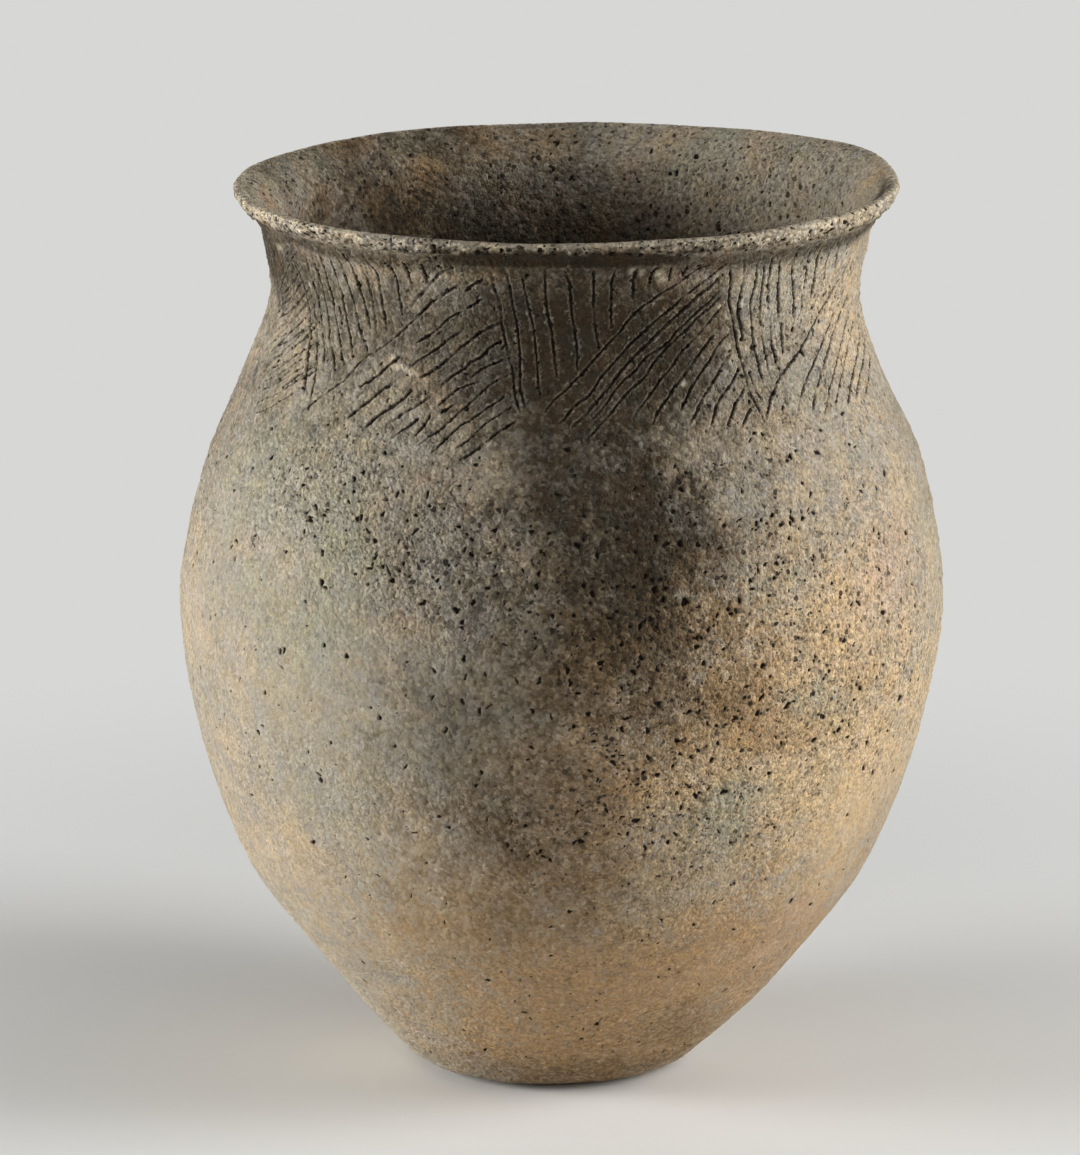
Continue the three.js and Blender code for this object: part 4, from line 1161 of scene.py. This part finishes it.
# Materials
def add_node(tree, kind, inputs=(), output=0, **settings):
    """Adds a node with its settings and returns one of its outputs. Each input, in the node's order or by
    name, is given a value or a link."""
    node = tree.nodes.new(f"ShaderNode{kind}")
    for name, value in settings.items():
        setattr(node, name, value)
    for name, value in inputs.items() if isinstance(inputs, dict) else enumerate(inputs):
        if isinstance(value, bpy.types.NodeSocket):
            tree.links.new(value, node.inputs[name])
        else:
            node.inputs[name].default_value = value
    return node.outputs[output] if node.outputs else None


def new_material(name):
    """An empty node material."""
    material = bpy.data.materials.new(name)
    material.use_nodes = True
    material.node_tree.nodes.clear()
    return material


def earthenware(name, roughness):
    """Gritty low-fired clay, never glazed: sand of uneven tone makes the dull skin look like fine gravel,
    smoke and flame left frayed patches of grey, brown, orange and green-grey, and chaff that burnt out
    left small holes, painted dark as the shade in them. The mesh's fields say where smoke and painted
    shade darken it, where it is worn and where it carries painted light, and where it was toasted, pitted or
    incised."""
    found = bpy.data.materials.get(name)
    if found:
        return found
    clay = bpy.context.scene.jar_clay
    material = new_material(name)
    add = partial(add_node, material.node_tree)
    soft = {"interpolation_type": "SMOOTHSTEP"}
    place = add("TexCoord", output="Object")
    field = {which: add("Attribute", output="Fac", attribute_name=which) for which in FIELDS}

    # noise of several sizes: broad drifts, patches, warmth, blotches, mottling and pepper
    broad, patches, warmth, blotch, mottle, pepper = (
        add("TexNoise", {"Vector": place, "Scale": 1 / (size * MM), "Detail": detail, "Roughness": finer},
            "Fac")
        for size, detail, finer in ((24, 4, 0.55), (14, 5, 0.6), (9, 5, 0.6), (8, 5, 0.62), (2.8, 4, 0.6),
                                    (0.9, 2, 0.6)))
    drift = add("TexNoise", {"Vector": place, "Scale": 1 / (2.4 * MM), "Detail": 1.0}, "Color")
    bent = add("VectorMath", (drift, (1.4 * MM,) * 3, place), operation="MULTIPLY_ADD")

    def cells(size):
        """Grains of a size with wandering outlines: distance to the nearest centre, and three random
        values for each grain."""
        tone = add("TexVoronoi", {"Vector": bent, "Scale": 1 / (size * MM)}, "Color")
        return tone.node.outputs["Distance"], add("SeparateColor", {"Color": tone}).node.outputs

    def spots(size, rarity):
        """Spots of uneven size, one in some of the grains: 1 in the middle and 0 outside. Also one more
        random value for each."""
        distance, chance = cells(size)
        reach = add("MapRange", (chance[0], rarity, 1.0, 0.0, 0.5), **soft)
        inside = add("Math", (distance, reach), operation="SUBTRACT")
        return add("MapRange", (inside, -0.1, 0.02, 1.0, 0.0), **soft), chance[1]

    # real sand is finer than the render shows, so its grains are drawn 1.3 and 0.75 mm across
    sand_distance, sand_tone = cells(1.3)
    fine_distance, fine_tone = cells(0.75)

    # how uneven the skin is: less so where it was burnished, and a little more where it is porous
    rough = add("MapRange", (field["burnished"], 0.1, 0.8, 1.2, 0.5), **soft)
    for which, limits in (("smoked", (0.0, 1.0, 1.0, 0.95)), ("porous", (0.1, 0.9, 0.74, 1.1))):
        more = add("MapRange", (field[which],) + limits, **soft)
        rough = add("Math", (rough, more), operation="MULTIPLY")

    def swing(value, reach):
        """The noise as a swing round zero, as strong as the skin is rough."""
        level = add("Math", (value, 0.5), operation="SUBTRACT")
        level = add("Math", (level, reach), operation="MULTIPLY")
        return add("Math", (level, rough), operation="MULTIPLY")

    # the edges of the clouds are broken up by the blotches, the mottling and single grains
    broken = 0.0
    for noise, share in ((blotch, 0.55), (mottle, 0.5), (sand_tone[2], 0.4)):
        level = add("Math", (noise, 0.5), operation="SUBTRACT")
        broken = add("Math", (level, share, broken), operation="MULTIPLY_ADD")

    def edged(which, fray):
        """The field of a cloud with its edge frayed."""
        frayed_field = add("Math", (broken, fray, field[which]), operation="MULTIPLY_ADD")
        return add("MapRange", (frayed_field, 0.05, 0.95), **soft)

    pinkish = add("MapRange", (patches, 0.56, 0.72, 0.0, 0.25), **soft)
    greenish = add("MapRange", (patches, 0.44, 0.28, 0.0, 0.3), **soft)
    cool = add("MapRange", (warmth, 0.42, 0.62), **soft)
    smoke = add("Mix", {0: cool, 6: tuple(clay.cool_smoke), 7: tuple(clay.smoke)}, 2, data_type="RGBA")
    colour = tuple(clay.taupe)
    for cover, tone in (
            (add("MapRange", (broad, 0.42, 0.72, 0.0, 0.35), **soft), clay.buff_tone),
            (edged("buff", 0.9), clay.buff_tone),
            (edged("toasted", 1.0), clay.toast),
            (add("Math", (edged("flushed", 1.0), pinkish), operation="MAXIMUM"), clay.flush),
            (add("Math", (edged("ashy", 1.1), greenish), operation="MAXIMUM"), clay.ash),
            # the smoke field lays painted shade as well as smoke, and the worn field painted light as well as
            # wear
            (edged("smoked", 0.6), smoke),
            (field["worn"], clay.worn_tone)):
        tone = tone if tone is smoke else tuple(tone)
        colour = add("Mix", {0: cover, 6: colour, 7: tone}, 2, data_type="RGBA")

    # lighter and darker clay, in blotches and grain by grain, and warmer and cooler clay
    shade = add("MapRange", (blotch, 0.3, 0.7, 0.9, 1.08), **soft)
    for noise, reach in ((mottle, 0.5), (pepper, 0.66), (sand_tone[0], 0.4), (fine_tone[0], 0.4)):
        shade = add("Math", (shade, swing(noise, reach)), operation="ADD")
    warm = add("MapRange", (warmth, 0.34, 0.66, -0.02, 0.1), **soft)
    grain_warmth = add("Math", (sand_tone[1], 0.5), operation="SUBTRACT")
    warm = add("Math", (grain_warmth, 0.12, warm), operation="MULTIPLY_ADD")
    more_red = add("Math", (warm, 0.4, 1.0), operation="MULTIPLY_ADD")
    less_blue = add("Math", (1.0, warm), operation="SUBTRACT")
    red = add("Math", (shade, more_red), operation="MULTIPLY")
    blue = add("Math", (shade, less_blue), operation="MULTIPLY")
    tint = add("CombineColor", (red, shade, blue))
    colour = add("Mix", {0: 1.0, 6: colour, 7: tint}, 2, data_type="RGBA", blend_type="MULTIPLY")

    # a few pale grains, fewer in the smoke
    grit, grit_chance = spots(1.7, 0.5)
    pale = add("MapRange", (grit_chance, 0.8, 1.0, 0.0, 0.5), **soft)
    clear = add("MapRange", (field["smoked"], 0.2, 0.8, 1.0, 0.3), **soft)
    for part in (pale, clear):
        grit = add("Math", (grit, part), operation="MULTIPLY")
    colour = add("Mix", {0: grit, 6: colour, 7: tuple(clay.grit_tone)}, 2, data_type="RGBA")

    # the holes that burnt-out chaff left, thick where the skin is porous, painted dark as the shade in them,
    # and soot with painted shade in pits and strokes
    speck = 0.0
    for size, rarity, porous_from, depths in ((2.1, 0.55, 0.3, (0.1, 0.8, 0.25, 1.0)),
                                              (1.2, 0.5, 0.1, (0.2, 1.0, 0.1, 0.8))):
        holes, chance = spots(size, rarity)
        thick = add("MapRange", (field["porous"], porous_from, 0.8), **soft)
        holes = add("Math", (holes, thick), operation="MULTIPLY")
        depth = add("MapRange", (chance,) + depths, **soft)
        holes = add("Math", (holes, depth), operation="MULTIPLY")
        speck = add("Math", (speck, holes), operation="MAXIMUM")
    dark = add("Math", (speck, 0.88), operation="MULTIPLY")
    for which, low, high, most in (("pitted", 0.15, 0.55, 0.96), ("incised", 0.12, 0.75, 0.88)):
        soot_and_shade = add("MapRange", (field[which], low, high, 0.0, most), **soft)
        dark = add("Math", (dark, soot_and_shade), operation="MAXIMUM")
    colour = add("Mix", {0: dark, 6: colour, 7: tuple(clay.soot)}, 2, data_type="RGBA")

    grains = 0.0
    for distance, share in ((sand_distance, 0.55), (fine_distance, 0.3)):
        dome = add("Math", (0.4, distance), operation="SUBTRACT")
        grains = add("Math", (dome, share, grains), operation="MULTIPLY_ADD")
    height = add("Math", (grains, rough), operation="MULTIPLY")
    for noise, reach in ((pepper, 0.5), (mottle, 1.5)):
        height = add("Math", (height, swing(noise, reach)), operation="ADD")
    height = add("Math", (height, speck), operation="SUBTRACT")
    bump = add("Bump", {"Strength": 1.0, "Distance": 0.6 * MM, "Height": height})
    dull = add("MapRange", (mottle, 0.3, 0.7, roughness - 0.06, roughness + 0.06), **soft)
    dull = add("Math", (field["burnished"], -0.14, dull), operation="MULTIPLY_ADD")
    shader = add("BsdfPrincipled", {"Base Color": colour, "Roughness": dull, "Normal": bump,
                                    "IOR": 1.45, "Specular IOR Level": 0.25})
    add("OutputMaterial", {"Surface": shader})
    return material


# Operators
def cut_rings(nodes, first, material):
    """Cuts rings out of the surfaces, each between two seams. first is the number of the first one, counted
    up the jar from the base at 0."""
    outer, inner, outer_rows, inner_rows = finished_surfaces()
    # of the map's height 0.62 is for the outside, 0.32 for the inside and 0.06 for the two joins
    left = 1 - 0.012 - (OUTER_STRIPS + 3 * INNER_STRIPS) * MAP_GAP
    join = 0.06 * left / (2 * INNER_STRIPS)
    room = [0.62 * left / OUTER_STRIPS, 0.32 * left / INNER_STRIPS, join, join]
    for number, node in enumerate(nodes, start=first):
        from_top = len(inner_rows) - 1 - number
        blocks = [cut_block(outer, outer_rows[number], outer_rows[number + 1], OUTER_STRIPS),
                  cut_block(inner, inner_rows[from_top], inner_rows[from_top + 1], INNER_STRIPS)]
        name = f"fired_{node}"
        set_piece(name, skinned(name, blocks, True, room), material, node)


def disc_blocks(edge, edge_fields, inwards):
    """Rings from an edge ring in to the disc's middle, with the columns halved on the way, or the same
    from the middle out. Those that go inwards are the jar's floor, which faces up and is uneven."""
    centre = edge.mean(axis=0)
    rings = []
    share, columns = 1.0, len(edge)
    while columns % 2 == 0:
        columns //= 2
        step = len(edge) // columns
        rings.append([])
        for _ in range(4):
            share *= 0.88
            rings[-1].append(centre + (edge[::step] - centre) * share)
    while share > 0.12:
        share *= 0.8
        rings[-1].append(centre + (edge[::step] - centre) * share)
    rings.append([centre[None]])
    blocks = []
    for points in map(np.array, rings):
        if inwards:
            points[..., 2] += 0.25 * MM * clay_noise(points, 14 * MM, 61)
        fields = np.zeros(points.shape[:2] + (len(FIELDS),), np.float32) + edge_fields.mean(axis=0)
        normals = np.zeros_like(points)
        normals[..., 2] = 1.0 if inwards else -1.0
        blocks.append((points, normals, fields, 1))
    return blocks if inwards else [tuple(part[::-1] for part in block[:3]) + (1,) for block in blocks[::-1]]


def lay_discs_flat(mesh):
    """Lays the underside and the floor of the base in the map as two circles beside its side strips."""
    corners = read(mesh.loops, "vertex_index", kind=np.int32)
    points = read(mesh.vertices, "co", 3)[corners]
    starts = read(mesh.polygons, "loop_start", kind=np.int32)
    face = np.repeat(np.arange(len(starts)), np.diff(np.append(starts, len(corners))))
    layer = mesh.uv_layers["OFBake"].uv
    maps = read(layer, "vector", 2)

    # so far only the side's faces have any height in the map
    flat = np.maximum.reduceat(maps[:, 1], starts) - np.minimum.reduceat(maps[:, 1], starts) < 1e-5
    low = np.maximum.reduceat(points[:, 2], starts) < points[:, 2].max() / 2
    maps_a_metre = 3.6
    for faces, centre in ((flat & low, (0.16, 0.8)), (flat & ~low, (0.66, 0.78))):
        chosen = faces[face]
        maps[chosen] = points[chosen, :2] * maps_a_metre + centre
    layer.foreach_set("vector", maps.ravel())


class JAR_OT_base_disc(bpy.types.Operator):
    """Make the thick base disc with its worn foot"""
    bl_idname = "jar.base_disc"
    bl_label = "Base disc"

    def execute(self, context):
        outer, inner, outer_rows = finished_surfaces()[:3]
        side = cut_block(outer, 0, outer_rows[1], 4)
        floor_edge = cut_block(inner, len(inner[0]) - 1, len(inner[0]) - 1, 4)
        under = disc_blocks(side[0][0], side[2][0], False)
        blocks = under + [side, floor_edge] + disc_blocks(floor_edge[0][0], floor_edge[2][0], True)
        # the map gives the side its strips now, and the discs are laid beside them afterwards
        room = [0.0] * (2 * len(blocks) - 1)
        room[len(under)] = 0.13
        mesh = skinned("fired_base_disc", blocks, False, room)
        lay_discs_flat(mesh)
        set_piece("fired_base_disc", mesh, earthenware("Low-fired earthenware, scuffed foot", 0.86),
                  "base_disc")
        return {"FINISHED"}


class JAR_OT_wall_coils(bpy.types.Operator):
    """Make the twelve coils of the wall"""
    bl_idname = "jar.wall_coils"
    bl_label = "Wall coils"

    def execute(self, context):
        cut_rings(WALL_COILS, 1, earthenware("Low-fired earthenware, wiped wall", 0.82))
        return {"FINISHED"}


class JAR_OT_neck_coils(bpy.types.Operator):
    """Make the three coils of the neck, incised with hatched triangles"""
    bl_idname = "jar.neck_coils"
    bl_label = "Neck coils"

    def execute(self, context):
        cut_rings(NECK_COILS, 1 + len(WALL_COILS),
                  earthenware("Low-fired earthenware, incised neck", 0.82))
        return {"FINISHED"}


class JAR_OT_lip_coil(bpy.types.Operator):
    """Make the flared lip coil"""
    bl_idname = "jar.lip_coil"
    bl_label = "Lip coil"

    def execute(self, context):
        cut_rings(["lip_coil"], 1 + len(WALL_COILS + NECK_COILS),
                  earthenware("Low-fired earthenware, worn lip", 0.88))
        return {"FINISHED"}


def seen_directly(add):
    """1 for what the camera sees, straight or in gloss or glass, and 0 for what lights the jar."""
    path = add("LightPath").node.outputs
    seen = add("Math", (path["Is Camera Ray"], path["Is Glossy Ray"]), operation="MAXIMUM")
    return add("Math", (seen, path["Is Transmission Ray"]), operation="MAXIMUM")


def set_floor(stage):
    """A round floor of pale paper. Away from the jar the eye sees an even backdrop that sheds no light."""
    radius, corners = 6, 96
    mesh = bpy.data.meshes.new("floor")
    angles = np.linspace(0, 2 * math.pi, corners, endpoint=False)
    mesh.from_pydata([(radius * math.cos(a), radius * math.sin(a), 0) for a in angles], [],
                     [list(range(corners))])
    floor = bpy.data.objects.new("floor", mesh)
    bpy.context.scene.collection.objects.link(floor)
    paper = new_material("Matt paper floor")
    add = partial(add_node, paper.node_tree)
    lit = add("BsdfPrincipled", {"Base Color": stage.floor_tone, "Roughness": 0.9})
    reach = add("VectorMath", (add("TexCoord", output="Object"),), "Value", operation="LENGTH")
    far = add("MapRange", (reach, 0.16, 0.55), interpolation_type="SMOOTHSTEP")
    share = add("Math", (far, seen_directly(add)), operation="MULTIPLY")
    even = add("Emission", (stage.floor_tone, BACKDROP))
    add("OutputMaterial", {"Surface": add("MixShader", (share, lit, even))})
    mesh.materials.append(paper)


def set_camera(stage):
    """The camera, aimed at the middle of the photo."""
    aim = np.array((-0.0067, 0.0, 0.1645))
    tilt = stage.camera_elevation
    forward = np.array((0.0, math.cos(tilt), -math.sin(tilt)))
    camera = bpy.data.objects.new("camera", bpy.data.cameras.new("camera"))
    camera.location = aim - forward * stage.camera_distance
    camera.rotation_euler = (math.pi / 2 - tilt, 0, 0)
    camera.data.sensor_width = 36
    camera.data.lens = camera.data.sensor_width * stage.camera_distance / stage.frame_height
    bpy.context.scene.collection.objects.link(camera)
    bpy.context.scene.camera = camera


def set_lamps(stage):
    """Soft lamps at both sides, which leave the front in shade, and a faint one in front."""
    aim = np.array((0.0, 0.0, 0.16))
    for name, place, size, power in (
            ("left_lamp", (-1.45, -0.22, 0.43), (0.7, 0.6), stage.side_light * 0.86),
            ("right_lamp", (1.45, -0.3, 0.75), (0.7, 1.2), stage.side_light),
            ("front_lamp", (-0.3, -1.9, 1.7), (1.4, 1.0), stage.front_light)):
        lamp = bpy.data.lights.new(name, "AREA")
        lamp.shape = "RECTANGLE"
        lamp.size, lamp.size_y = size
        lamp.energy = power
        holder = bpy.data.objects.new(name, lamp)
        holder.location = place
        towards = aim - np.array(place)
        flat = math.hypot(towards[0], towards[1])
        holder.rotation_euler = (math.atan2(flat, -towards[2]), 0, math.atan2(-towards[0], towards[1]))
        holder.visible_camera = False
        bpy.context.scene.collection.objects.link(holder)


def set_world(stage):
    """An even pale room, dim as a light and pale to the eye."""
    world = bpy.data.worlds.new("pale_room")
    world.use_nodes = True
    world.node_tree.nodes.clear()
    add = partial(add_node, world.node_tree)
    strength = add("MapRange", {"Value": seen_directly(add), "To Min": stage.room_light, "To Max": BACKDROP})
    light = add("Background", {"Color": stage.floor_tone, "Strength": strength})
    add("OutputWorld", {"Surface": light})
    bpy.context.scene.world = world


class JAR_OT_stage(bpy.types.Operator):
    """Set up the floor, the soft lamps and the camera"""
    bl_idname = "jar.stage"
    bl_label = "Stage"

    def execute(self, context):
        for part in (set_floor, set_camera, set_lamps, set_world):
            part(context.scene.jar_stage)
        context.scene.view_settings.view_transform = "Standard"
        return {"FINISHED"}


OPERATORS = (JAR_OT_stage, JAR_OT_base_disc, JAR_OT_wall_coils, JAR_OT_neck_coils, JAR_OT_lip_coil)


class JAR_PT_panel(bpy.types.Panel):
    """Lists the jar's pieces and its stage"""
    bl_idname = "JAR_PT_panel"
    bl_label = "Incised jar"
    bl_space_type = "VIEW_3D"
    bl_region_type = "UI"
    bl_category = "Jar"

    def draw(self, context):
        for operator in OPERATORS:
            self.layout.operator(operator.bl_idname)
        for group in GROUPS:
            values = getattr(context.scene, group)
            box = self.layout.box()
            box.label(text=group.replace("jar_", "").capitalize())
            for name in GROUPS[group].__annotations__:
                box.prop(values, name)


def register():
    for group in GROUPS.values():
        bpy.utils.register_class(group)
    for name, group in GROUPS.items():
        setattr(bpy.types.Scene, name, PointerProperty(type=group))
    for operator in OPERATORS:
        bpy.utils.register_class(operator)
    bpy.utils.register_class(JAR_PT_panel)


def unregister():
    bpy.utils.unregister_class(JAR_PT_panel)
    for operator in reversed(OPERATORS):
        bpy.utils.unregister_class(operator)
    for name, group in GROUPS.items():
        delattr(bpy.types.Scene, name)
        bpy.utils.unregister_class(group)


def main():
    register()
    bpy.ops.jar.stage()
    bpy.ops.jar.base_disc()
    bpy.ops.jar.wall_coils()
    bpy.ops.jar.neck_coils()
    bpy.ops.jar.lip_coil()


if __name__ == "__main__":
    main()
